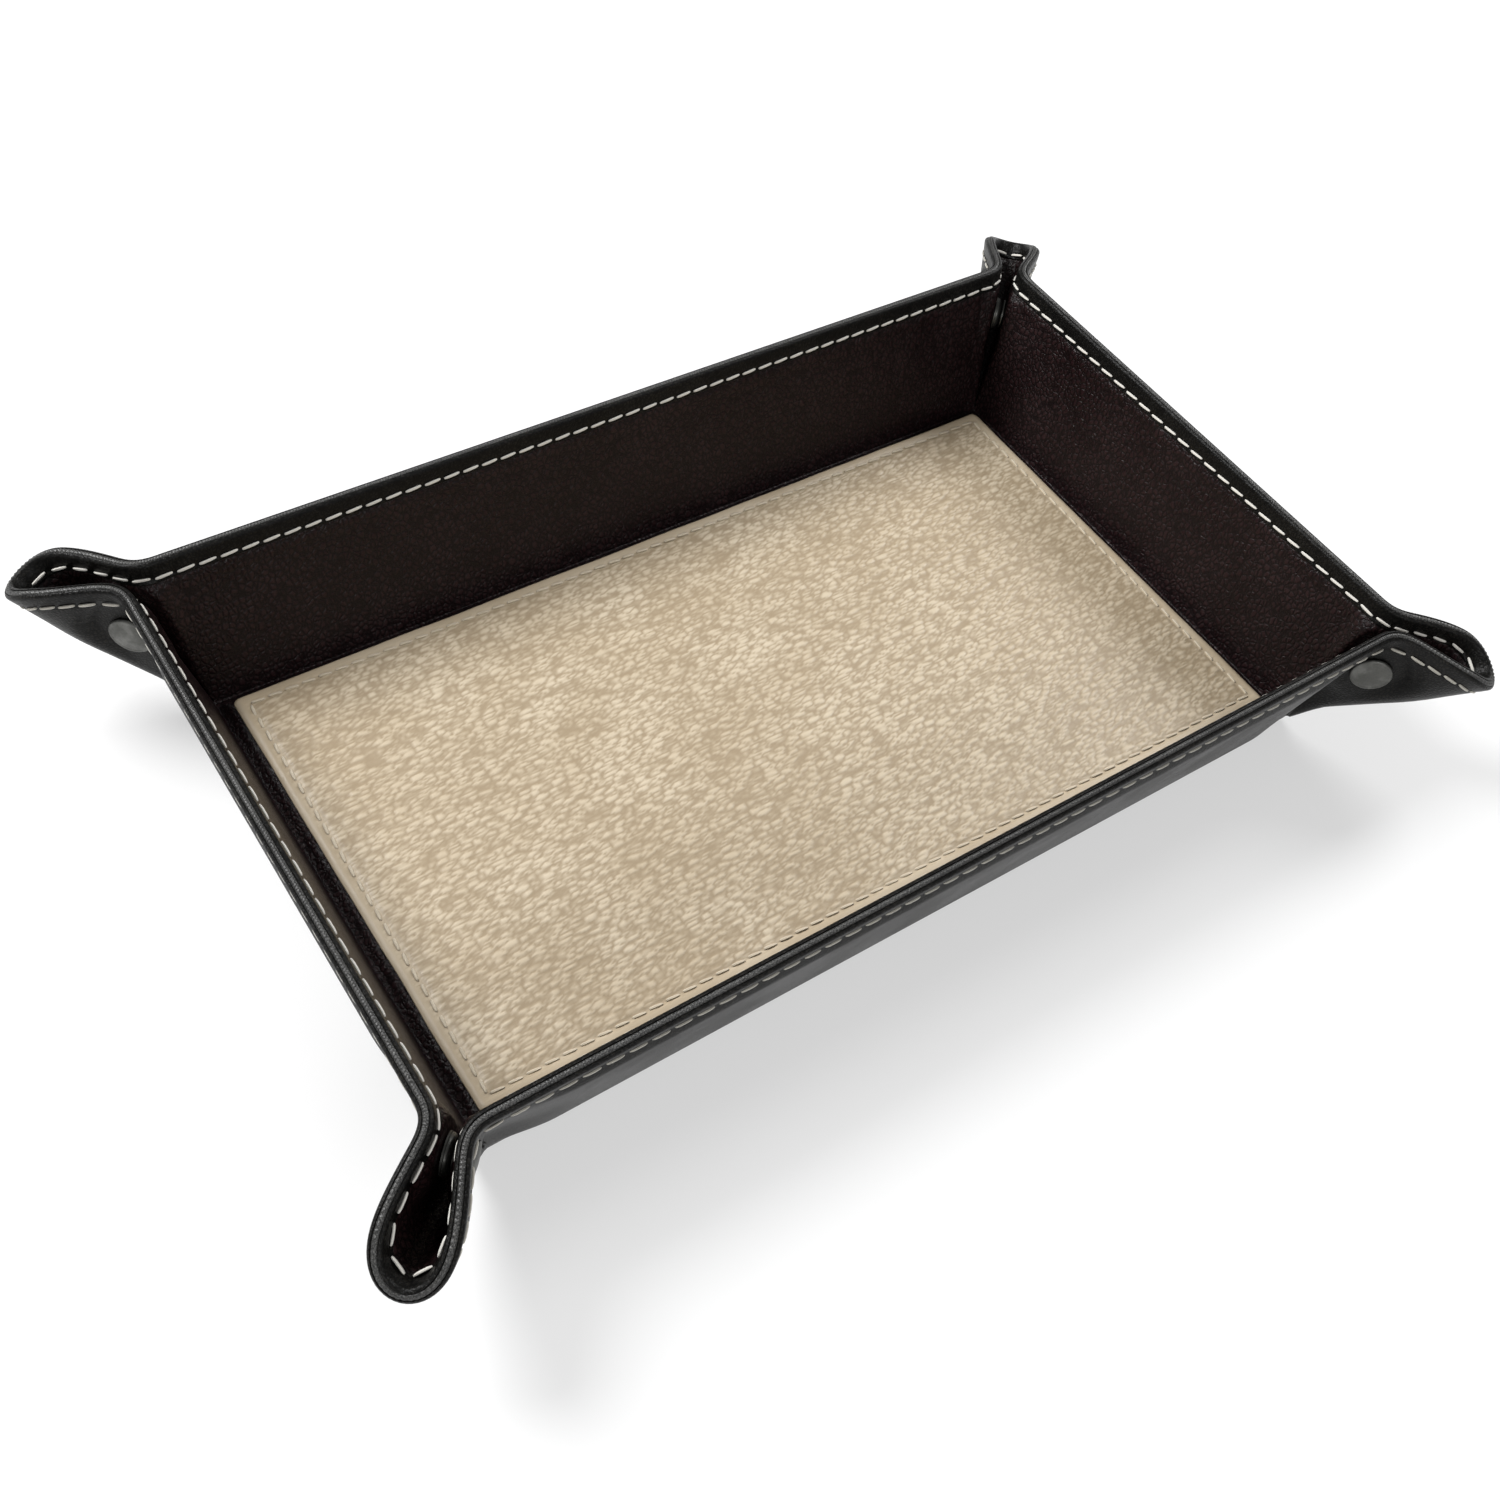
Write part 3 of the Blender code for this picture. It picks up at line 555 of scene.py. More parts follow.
def new_grid(name: str, columns: int, rows: int) -> tuple[bpy.types.Object, np.ndarray]:
    """Adds a grid primitive with the given number of points each way.

    Args:
        name: The object's name.
        columns: Points along the first direction.
        rows: Points along the second direction.

    Returns:
        The object, and an array of (column, row) with one line for each of its points.
    """
    bpy.ops.object.select_all(action="DESELECT")
    bpy.ops.mesh.primitive_grid_add(x_subdivisions=columns - 1, y_subdivisions=rows - 1, size=2)
    obj = bpy.context.object
    obj.name = obj.data.name = name
    places = np.empty(len(obj.data.vertices) * 3)
    obj.data.vertices.foreach_get("co", places)
    places = places.reshape(-1, 3)
    column = np.rint((places[:, 0] + 1) / 2 * (columns - 1)).astype(int)
    row = np.rint((places[:, 1] + 1) / 2 * (rows - 1)).astype(int)
    return obj, np.stack((column, row), axis=-1)


def apply_modifiers(obj: bpy.types.Object) -> None:
    """Applies an object's modifiers in their order."""
    bpy.context.view_layer.objects.active = obj
    for modifier in list(obj.modifiers):
        bpy.ops.object.modifier_apply(modifier=modifier.name)


def skin_grid(
    name: str,
    points: np.ndarray,
    thick: float,
    flip: bool,
    kept: np.ndarray | None = None,
) -> bpy.types.Object:
    """A closed leather skin from a table of points of its show side.

    Args:
        name: The object's name.
        points: Points by column and row.
        thick: The skin's thickness, which goes in behind the show side.
        flip: Whether the table runs the mirrored way round.
        kept: Where given, a value for each point, kept as its pebble attribute. Such a flat skin
            is closed by a plain hem and a flat back.

    Returns:
        The finished object.
    """
    columns, rows = points.shape[:2]
    obj, places = new_grid(name, columns, rows)
    mesh = obj.data
    mesh.vertices.foreach_set("co", points[places[:, 0], places[:, 1]].ravel())
    if kept is not None:
        layer = mesh.attributes.new("pebble", "FLOAT", "POINT")
        layer.data.foreach_set("value", kept[places[:, 0], places[:, 1]].ravel())
    mesh.update()
    if flip:
        bpy.ops.object.mode_set(mode="EDIT")
        bpy.ops.mesh.select_all(action="SELECT")
        bpy.ops.mesh.flip_normals()
        bpy.ops.object.mode_set(mode="OBJECT")
    if kept is not None:
        bpy.ops.object.mode_set(mode="EDIT")
        bpy.ops.mesh.select_all(action="SELECT")
        bpy.ops.mesh.region_to_loop()
        bpy.ops.mesh.extrude_region_move(TRANSFORM_OT_translate={"value": (0, 0, -thick)})
        bpy.ops.mesh.edge_face_add()
        bpy.ops.object.mode_set(mode="OBJECT")
    else:
        solid = obj.modifiers.new("thickness", "SOLIDIFY")
        solid.thickness = thick
        solid.offset = -1
        apply_modifiers(obj)
    bpy.ops.object.shade_smooth_by_angle(angle=50 * DEGREE)
    return obj


class Shader:
    """A small helper that lays out one material's nodes."""

    def __init__(self, name: str) -> None:
        """Starts a material with its Principled shader and Object coordinates.

        Args:
            name: The material's name.
        """
        self.material = bpy.data.materials.new(name)
        self.material.use_nodes = True
        self.tree = self.material.node_tree
        self.principled = self.tree.nodes["Principled BSDF"]
        self.coordinates = self.tree.nodes.new("ShaderNodeTexCoord")

    def node(self, kind: str, inputs: dict, **settings: object) -> bpy.types.Node:
        """Adds a node.

        Args:
            kind: The node's type.
            inputs: Values or output sockets by the input's name or number.
            **settings: Properties of the node.

        Returns:
            The node.
        """
        made = self.tree.nodes.new(kind)
        for key, value in settings.items():
            setattr(made, key, value)
        for key, value in inputs.items():
            self.feed(made.inputs[key], value)
        return made

    def feed(self, socket: bpy.types.NodeSocket, value: object) -> None:
        """Links an output to a socket, or sets the socket's own value.

        Args:
            socket: The input.
            value: An output socket or a plain value.
        """
        if isinstance(value, bpy.types.NodeSocket):
            self.tree.links.new(value, socket)
        else:
            socket.default_value = value

    def stretched(self, scale: Sequence[float], warp: float = 0.0) -> bpy.types.NodeSocket:
        """Object coordinates, scaled and wandering a little.

        Args:
            scale: Scale along each axis, per metre.
            warp: How far the coordinates wander.

        Returns:
            The coordinates.
        """
        space = self.node(
            "ShaderNodeMapping", {"Vector": self.coordinates.outputs["Object"], "Scale": scale}
        )
        if not warp:
            return space.outputs["Vector"]
        drift = self.node("ShaderNodeTexNoise", {"Vector": space.outputs["Vector"], "Scale": 0.8})
        centred = self.node(
            "ShaderNodeVectorMath",
            {0: drift.outputs["Color"], 1: (0.5, 0.5, 0.5)},
            operation="SUBTRACT",
        )
        sized = self.node(
            "ShaderNodeVectorMath", {0: centred.outputs[0], "Scale": warp}, operation="SCALE"
        )
        moved = self.node(
            "ShaderNodeVectorMath",
            {0: space.outputs["Vector"], 1: sized.outputs[0]},
            operation="ADD",
        )
        return moved.outputs[0]

    def noise(
        self, vector: bpy.types.NodeSocket, scale: float, detail: float
    ) -> bpy.types.NodeSocket:
        """A noise value from 0 to 1.

        Args:
            vector: The coordinates.
            scale: Size of the pattern.
            detail: How many finer layers it has.

        Returns:
            The value's socket.
        """
        made = self.node(
            "ShaderNodeTexNoise", {"Vector": vector, "Scale": scale, "Detail": detail}
        )
        return made.outputs["Fac"]

    def cells(self, vector: bpy.types.NodeSocket, scale: float) -> bpy.types.NodeSocket:
        """Distance from the valleys of a pebbled grain.

        Args:
            vector: The coordinates.
            scale: Size of the pattern.

        Returns:
            The distance's socket.
        """
        made = self.node(
            "ShaderNodeTexVoronoi", {"Vector": vector, "Scale": scale}, feature="DISTANCE_TO_EDGE"
        )
        return made.outputs["Distance"]

    def kept(self, name: str) -> bpy.types.NodeSocket:
        """A value that the piece's mesh keeps at each point."""
        return self.node("ShaderNodeAttribute", {}, attribute_name=name).outputs["Fac"]

    def span(self, value: bpy.types.NodeSocket, low: float, high: float, to: tuple) -> object:
        """A value eased from one span to another.

        Args:
            value: What is eased.
            low: Where the first span starts.
            high: Where it ends.
            to: Start and end of the second span, as numbers or sockets.

        Returns:
            The result's socket.
        """
        made = self.node(
            "ShaderNodeMapRange",
            {"Value": value, "From Min": low, "From Max": high, "To Min": to[0], "To Max": to[1]},
            interpolation_type="SMOOTHSTEP",
        )
        return made.outputs["Result"]

    def sum(self, a: object, b: object, how: str = "ADD") -> bpy.types.NodeSocket:
        """One of Math's two-value results."""
        return self.node("ShaderNodeMath", {0: a, 1: b}, operation=how).outputs[0]

    def blend(self, share: object, a: object, b: object) -> bpy.types.NodeSocket:
        """A colour between two others.

        Args:
            share: How much of the second.
            a: The first colour, plain or a socket.
            b: The second.

        Returns:
            The colour's socket.
        """
        made = self.node("ShaderNodeMix", {}, data_type="RGBA")
        self.feed(made.inputs["Factor"], share)
        for socket, value in ((made.inputs[6], a), (made.inputs[7], b)):
            self.feed(socket, value if isinstance(value, bpy.types.NodeSocket) else (*value, 1.0))
        return made.outputs[2]

    def bump(self, height: object, distance: float, onto: object = None) -> bpy.types.NodeSocket:
        """A relief in metres, over another where given.

        Args:
            height: The relief, from 0 to 1.
            distance: How high 1 stands.
            onto: A normal that the relief lies on.

        Returns:
            The normal's socket.
        """
        made = self.node(
            "ShaderNodeBump", {"Height": height, "Distance": distance, "Strength": 1.0}
        )
        if onto is not None:
            self.feed(made.inputs["Normal"], onto)
        return made.outputs["Normal"]

    def finish(self, **sockets: object) -> bpy.types.Material:
        """Feeds the Principled shader, with underscores for the spaces in its sockets' names.

        Args:
            **sockets: Values or output sockets by the shader's input.

        Returns:
            The finished material.
        """
        for key, value in sockets.items():
            socket = self.principled.inputs[key.replace("_", " ")]
            colour = isinstance(value, tuple) and len(value) == 3 and socket.type == "RGBA"
            self.feed(socket, (*value, 1.0) if colour else value)
        return self.material


@dataclass(frozen=True)
class LeatherFinish:
    """A pebbled leather: its colours, the size and lie of its pebbles, and its shine."""

    name: str
    valley: Colour
    crown: Colour
    # Lighter colour laid in patches on the crowns: wear on the black leather, lining and panel, and
    # a painted highlight on the ribbed edge.
    worn_and_highlight: Colour
    pebble: float
    stretch: tuple[float, float, float]
    relief: float
    shine: tuple[float, float]
    specular: float
    kept_pebbles: bool = False

    def material(self) -> bpy.types.Material:
        """Builds the leather's nodes.

        Returns:
            The finished material.
        """
        shader = Shader(self.name)
        scale = tuple(share / self.pebble for share in self.stretch)
        grain = shader.stretched(scale, 0.7)
        if self.kept_pebbles:
            domes = shader.kept("pebble")
            fine = shader.span(shader.cells(grain, 2.2), 0.0, 0.35, (0.0, 1.0))
        else:
            domes = shader.span(shader.cells(grain, 1.0), 0.0, 0.32, (0.0, 1.0))
            fine = shader.span(shader.cells(grain, 2.6), 0.0, 0.35, (0.0, 1.0))
        slow = shader.noise(shader.stretched((60.0, 60.0, 60.0)), 1.0, 3.0)
        patches = shader.span(slow, 0.35, 0.7, (0.0, 1.0))
        pores = shader.noise(grain, 6.0, 4.0)
        height = shader.sum(domes, shader.sum(fine, 0.3, "MULTIPLY"))
        height = shader.sum(height, shader.sum(pores, 0.3, "MULTIPLY"))
        colour = shader.blend(domes, self.valley, self.crown)
        # Patches on the crowns that take the lighter colour: wear, and on the ribbed edge a painted
        # highlight.
        worn_and_highlit_share = shader.sum(patches, shader.sum(domes, pores, "MULTIPLY"), "MULTIPLY")
        colour = shader.blend(shader.sum(worn_and_highlit_share, 0.9, "MULTIPLY"), colour, self.worn_and_highlight)
        rough = shader.span(shader.sum(slow, pores, "MULTIPLY"), 0.1, 0.5, self.shine)
        creases = shader.noise(shader.stretched((140.0, 90.0, 90.0), 1.5), 1.0, 2.0)
        folds = shader.bump(creases, self.relief * 2.0)
        return shader.finish(
            Base_Color=colour,
            Roughness=rough,
            Specular_IOR_Level=self.specular,
            Normal=shader.bump(height, self.relief, folds),
        )


@dataclass(frozen=True)
class ThreadFinish:
    """A twisted sewing thread."""

    name: str
    light: Colour
    dark: Colour

    def material(self) -> bpy.types.Material:
        """Builds the thread's nodes, with the twist along its own UV map.

        Returns:
            The finished material.
        """
        shader = Shader(self.name)
        lay = shader.node(
            "ShaderNodeMapping",
            {"Vector": shader.coordinates.outputs["UV"], "Scale": (9.0, 2.0, 1.0)},
        )
        twist = shader.node(
            "ShaderNodeTexWave",
            {"Vector": lay.outputs["Vector"], "Scale": 0.32, "Distortion": 0.4},
            bands_direction="DIAGONAL",
        ).outputs["Fac"]
        hair = shader.noise(shader.stretched((1.0, 1.0, 1.0)), 2600.0, 3.0)
        slow = shader.noise(shader.stretched((1.0, 1.0, 1.0)), 160.0, 1.0)
        share = shader.sum(shader.sum(twist, 0.55, "MULTIPLY"), shader.sum(slow, 0.5, "MULTIPLY"))
        height = shader.sum(twist, shader.sum(hair, 0.4, "MULTIPLY"))
        return shader.finish(
            Base_Color=shader.blend(share, self.dark, self.light),
            Roughness=shader.span(hair, 0.3, 0.7, (0.55, 0.8)),
            Sheen_Weight=0.3,
            Normal=shader.bump(height, 0.06 * MM),
        )


@dataclass(frozen=True)
class MetalFinish:
    """A plated press snap, a little scuffed."""

    name: str
    plate: Colour
    scuffed: Colour
    shine: tuple[float, float]

    def material(self) -> bpy.types.Material:
        """Builds the plate's nodes.

        Returns:
            The finished material.
        """
        shader = Shader(self.name)
        cloud = shader.noise(shader.stretched((1.0, 1.0, 1.0)), 260.0, 4.0)
        grit = shader.noise(shader.stretched((1.0, 1.0, 1.0)), 2400.0, 2.0)
        scuffs = shader.span(cloud, 0.45, 0.7, (0.0, 1.0))
        return shader.finish(
            Base_Color=shader.blend(scuffs, self.plate, self.scuffed),
            Metallic=0.85,
            Roughness=shader.span(grit, 0.3, 0.7, self.shine),
            Normal=shader.bump(grit, 0.01 * MM),
        )


@dataclass(frozen=True)
class BoardFinish:
    """The grey board inside the walls and the base."""

    name: str
    pale: Colour
    dark: Colour

    def material(self) -> bpy.types.Material:
        """Builds the board's speckled pulp.

        Returns:
            The finished material.
        """
        shader = Shader(self.name)
        pulp = shader.noise(shader.stretched((1.0, 1.0, 1.0)), 900.0, 6.0)
        specks = shader.noise(shader.stretched((1.0, 1.0, 3.0)), 350.0, 2.0)
        speckled = shader.span(specks, 0.4, 0.65, (0.0, 1.0))
        return shader.finish(
            Base_Color=shader.blend(speckled, self.dark, self.pale),
            Roughness=shader.span(pulp, 0.2, 0.8, (0.8, 0.95)),
            Normal=shader.bump(pulp, 0.05 * MM),
        )


BLACK_LEATHER = LeatherFinish(
    name="black_leather",
    valley=(0.0025, 0.0025, 0.0024),
    crown=(0.0070, 0.0066, 0.0058),
    worn_and_highlight=(0.022, 0.0195, 0.0155),
    pebble=0.8 * MM,
    stretch=(1.0, 1.0, 1.0),
    relief=0.05 * MM,
    shine=(0.32, 0.48),
    specular=0.15,
)
# Lighter grey than the black leather: a painted highlight for the grey glints on the black ribbed
# ridge. Its lightest colour, laid on the crowns, is a painted highlight as well.
RIBBED_EDGE_PAINTED_HIGHLIGHT = LeatherFinish(
    name="ribbed_edge_leather",
    valley=(0.012, 0.012, 0.012),
    crown=(0.055, 0.054, 0.051),
    worn_and_highlight=(0.15, 0.148, 0.14),
    pebble=0.4 * MM,
    stretch=(1.0, 1.0, 1.0),
    relief=0.02 * MM,
    shine=(0.30, 0.45),
    specular=0.5,
)
BURGUNDY_LINING = LeatherFinish(
    name="burgundy_lining",
    valley=(0.0045, 0.0020, 0.0022),
    crown=(0.0150, 0.0058, 0.0066),
    worn_and_highlight=(0.034, 0.017, 0.017),
    pebble=1.3 * MM,
    stretch=(1.0, 1.0, 0.8),
    relief=0.12 * MM,
    shine=(0.32, 0.52),
    specular=0.22,
)
TAUPE_PANEL = LeatherFinish(
    name="taupe_panel",
    valley=(0.33, 0.255, 0.165),
    crown=(0.53, 0.44, 0.315),
    worn_and_highlight=(0.66, 0.575, 0.44),
    pebble=0.8 * MM,
    stretch=(0.6, 1.2, 1.0),
    relief=0.05 * MM,
    shine=(0.34, 0.52),
    specular=0.5,
    kept_pebbles=True,
)
WHITE_THREAD = ThreadFinish("white_thread", (0.88, 0.86, 0.80), (0.68, 0.65, 0.59))
CREAM_THREAD = ThreadFinish("cream_thread", (0.68, 0.60, 0.47), (0.46, 0.39, 0.28))
GREY_THREAD = ThreadFinish("grey_thread", (0.50, 0.48, 0.42), (0.30, 0.28, 0.24))
GUNMETAL = MetalFinish("gunmetal_plate", (0.095, 0.095, 0.088), (0.16, 0.16, 0.15), (0.38, 0.55))
GREY_BOARD = BoardFinish("grey_board_pulp", (0.33, 0.31, 0.28), (0.20, 0.185, 0.165))


@dataclass
class Finishes:
    """The materials, each built once."""

    black: bpy.types.Material = field(default_factory=BLACK_LEATHER.material)
    # The ribbed edge's finish, lighter grey than the black leather as a painted highlight.
    ribbed: bpy.types.Material = field(default_factory=RIBBED_EDGE_PAINTED_HIGHLIGHT.material)
    burgundy: bpy.types.Material = field(default_factory=BURGUNDY_LINING.material)
    taupe: bpy.types.Material = field(default_factory=TAUPE_PANEL.material)
    white_thread: bpy.types.Material = field(default_factory=WHITE_THREAD.material)
    cream_thread: bpy.types.Material = field(default_factory=CREAM_THREAD.material)
    grey_thread: bpy.types.Material = field(default_factory=GREY_THREAD.material)
    gunmetal: bpy.types.Material = field(default_factory=GUNMETAL.material)
    board: bpy.types.Material = field(default_factory=GREY_BOARD.material)

    def dress(self, obj: bpy.types.Object, material: bpy.types.Material, slot: str) -> None:
        """Gives a piece its material.

        Args:
            obj: The piece.
            material: Its material.
            slot: The record's name for the slot; not used.
        """
        obj.data.materials.clear()
        obj.data.materials.append(material)

    def skin(self, obj: bpy.types.Object, skin: Skin) -> None:
        """Gives a leather skin its own finish.

        Args:
            obj: The piece.
            skin: Which of the two leathers it is.
        """
        if skin is Skin.COVER:
            self.dress(obj, self.black, "leather_black")
        else:
            self.dress(obj, self.burgundy, "lining_burgundy")


@dataclass
class RimPlace:
    """A stretch of a wall or an ear, along which rim pieces and stitches are laid.

    Args:
        side: The wall.
        end: Which end of the wall, for an ear.
        part: The ear's part, or nothing for the wall itself.
    """

    side: Side
    end: int = 0
    part: EarPart | None = None

    @property
    def body(self) -> str:
        """The name of the CAD body that carries this stretch."""
        wall = f"{self.side.name}_wall"
        return f"{wall}_{self.side.ends[self.end]}_{self.part.value}" if self.part else wall

    @property
    def span(self) -> tuple[float, float]:
        """Where the stretch starts and ends, in metres along a wall or as an ear's angles."""
        if self.part is EarPart.NECK:
            return 0.0, EAR.turn
        if self.part is EarPart.TIP:
            return EAR.turn, SIZES.ear_span
        return 0.0, self.side.length

    def points(
        self, place: np.ndarray, height: np.ndarray, share: np.ndarray, offset: np.ndarray
    ) -> np.ndarray:
        """Points in the tray's frame.

        Args:
            place: Metres along the wall, or angles in the ear.
            height: Heights in the wall, which in an ear follow its outline.
            share: Depth as a share of the sandwich's thickness.
            offset: Depth to add to that.

        Returns:
            One point for each.
        """
        if self.part is None:
            from_end = np.minimum(place, self.side.length - place)
            depth = share * wall_depth(from_end, height) + offset
            return self.side.place(wall_points(place, height, depth))
        reach = EAR.reach(place, height)
        depth = share * ear_depth(reach) + offset
        return self.side.place(EAR.points(place, reach, depth), self.end)

    def attach(self, obj: bpy.types.Object) -> None:
        """Bakes a piece's placement into its mesh; the crease and hinge points that it works out
        are not used.

        Args:
            obj: The piece.
        """
        if self.part is None:
            turned = np.array([SIZES.fold])
            start = self.side.place(crease_points(np.zeros(1), turned, SIZES.crease_outer))
            foot = np.full(1, SIZES.bend_foot)
            depth = np.full(1, SIZES.crease_outer - SIZES.bend_radius)
            end = self.side.place(wall_points(np.zeros(1), foot, depth))
            middle = self.side.turned(-WALL_ALONG) * self.side.length / 2
            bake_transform(obj)
            return
        neck = self.part is EarPart.NECK
        hinge = SIZES.neck_hinge if neck else SIZES.loop_hinge
        ray, ahead, _ = EAR.frame_at(np.array(hinge))
        middle = SIZES.snap_reach * ray
        points = np.array([middle - SIZES.fold_half * ahead, middle + SIZES.fold_half * ahead])
        start, end = self.side.place(points, self.end)
        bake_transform(obj)


def stretches() -> list[RimPlace]:
    """Every wall, neck and tip.

    Returns:
        Twenty places, five to a wall.
    """
    places = []
    for side in SIDES.values():
        places.append(RimPlace(side))
        places += [RimPlace(side, end, part) for end in (0, 1) for part in EarPart]
    return places


@dataclass
class LeatherSkins:
    """The cover and the lining over the walls and the ears."""

    finishes: Finishes
    wall_step: float = 1.25 * MM
    ear_step: float = 0.75 * DEGREE
    thick: float = 0.55 * MM
    low_heights: float = 1.4 * MM

    def build(self) -> None:
        """Makes each stretch of both skins."""
        for place in stretches():
            for skin in Skin:
                self.make(place, skin)
            LOG.info("skins of %s", place.body)

    def make(self, place: RimPlace, skin: Skin) -> bpy.types.Object:
        """One skin over one stretch.

        Args:
            place: The stretch.
            skin: Which of the two leathers.

        Returns:
            The object.
        """
        path = PATHS[skin]
        low, high = place.span
        step = self.wall_step if place.part is None else self.ear_step
        count = max(3, int(round((high - low) / step)) + 1)
        along = np.linspace(low, high, count)
        heights, shares, offsets = path.heights, path.depth_shares, path.offsets
        if place.part is not None:
            keep = heights > self.low_heights
            keep[np.argmax(heights) :] = True
            heights, shares, offsets = heights[keep], shares[keep], offsets[keep]
        grid_along, grid_height = np.meshgrid(along, heights, indexing="ij")
        points = place.points(
            grid_along,
            grid_height,
            np.broadcast_to(shares, grid_along.shape),
            np.broadcast_to(offsets, grid_along.shape),
        )
        if place.part is None:
            arc = self.crease_rows(place, path, along)
            points = np.concatenate((arc, points), axis=1)
        name = f"{place.body}_{skin.value}_leather"
        mirrored = bool(place.end) != (skin is Skin.LINING)
        flip = not mirrored if place.part is not None else skin is Skin.LINING
        obj = skin_grid(name, points, self.thick, flip)
        self.finishes.skin(obj, skin)
        place.attach(obj)
        self.replace_node(place, skin, obj)
        return obj

    @staticmethod
    def crease_rows(place: RimPlace, path: SkinPath, along: np.ndarray) -> np.ndarray:
        """The rows round the crease, below the wall's first height."""
        grid_along, grid_turn = np.meshgrid(along, np.array(path.turns), indexing="ij")
        return place.side.place(crease_points(grid_along, grid_turn, path.radius))

    @staticmethod
    def replace_node(place: RimPlace, skin: Skin, obj: bpy.types.Object) -> None:
        """Lets a skin stand for the solid that it covers."""
        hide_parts(f"{place.body}_{skin.value}")


@dataclass
class RibbedEdge:
    """The narrow ribbed ridge where the two turned edges meet on top of the rim."""

    finishes: Finishes
    rib: float = 0.76 * MM
    ribs_step: float = 0.19 * MM
    half_width_share: float = 0.46
    sunk: float = 0.30 * MM
    thick: float = 0.2 * MM
    ear_reach: float = 44 * MM

    def build(self) -> None:
        """Makes the ridge over each stretch."""
        for place in stretches():
            self.make(place)

    def make(self, place: RimPlace) -> None:
        """The ridge over one stretch.

        Args:
            place: The stretch.
        """
        low, high = place.span
        length = high - low
        if place.part is not None:
            length *= self.ear_reach
        count = int(round(length / self.ribs_step)) + 1
        along = np.linspace(low, high, count)
        metres = np.linspace(0.0, length, count)
        across = self.half_width_share * np.array([-1.0, -0.7, -0.25, 0.25, 0.7, 1.0])
        if place.part is not None:
            across = -across
        lift = np.array([-0.30, 0.22, 0.42, 0.42, 0.22, -0.30]) * MM
        ribs = 0.5 + 0.5 * np.cos(2 * math.pi * metres / self.rib)
        grid_along, grid_across = np.meshgrid(along, across, indexing="ij")
        swell = np.maximum(lift, 0) * (0.5 + 0.5 * ribs[:, None]) + np.minimum(lift, 0)
        height = np.full_like(grid_along, SIZES.wall_height - self.sunk) + swell
        share = (1 + grid_across) / 2
        offset = -SIZES.band_proud * (1 - grid_across) / 2
        points = place.points(grid_along, height, share, offset)
        obj = skin_grid(f"{place.body}_ribbed_edge", points, self.thick, not place.end)
        # The ridge's lighter grey finish is a painted highlight on black leather.
        self.finishes.dress(obj, self.finishes.ribbed, "leather_black")
        place.attach(obj)


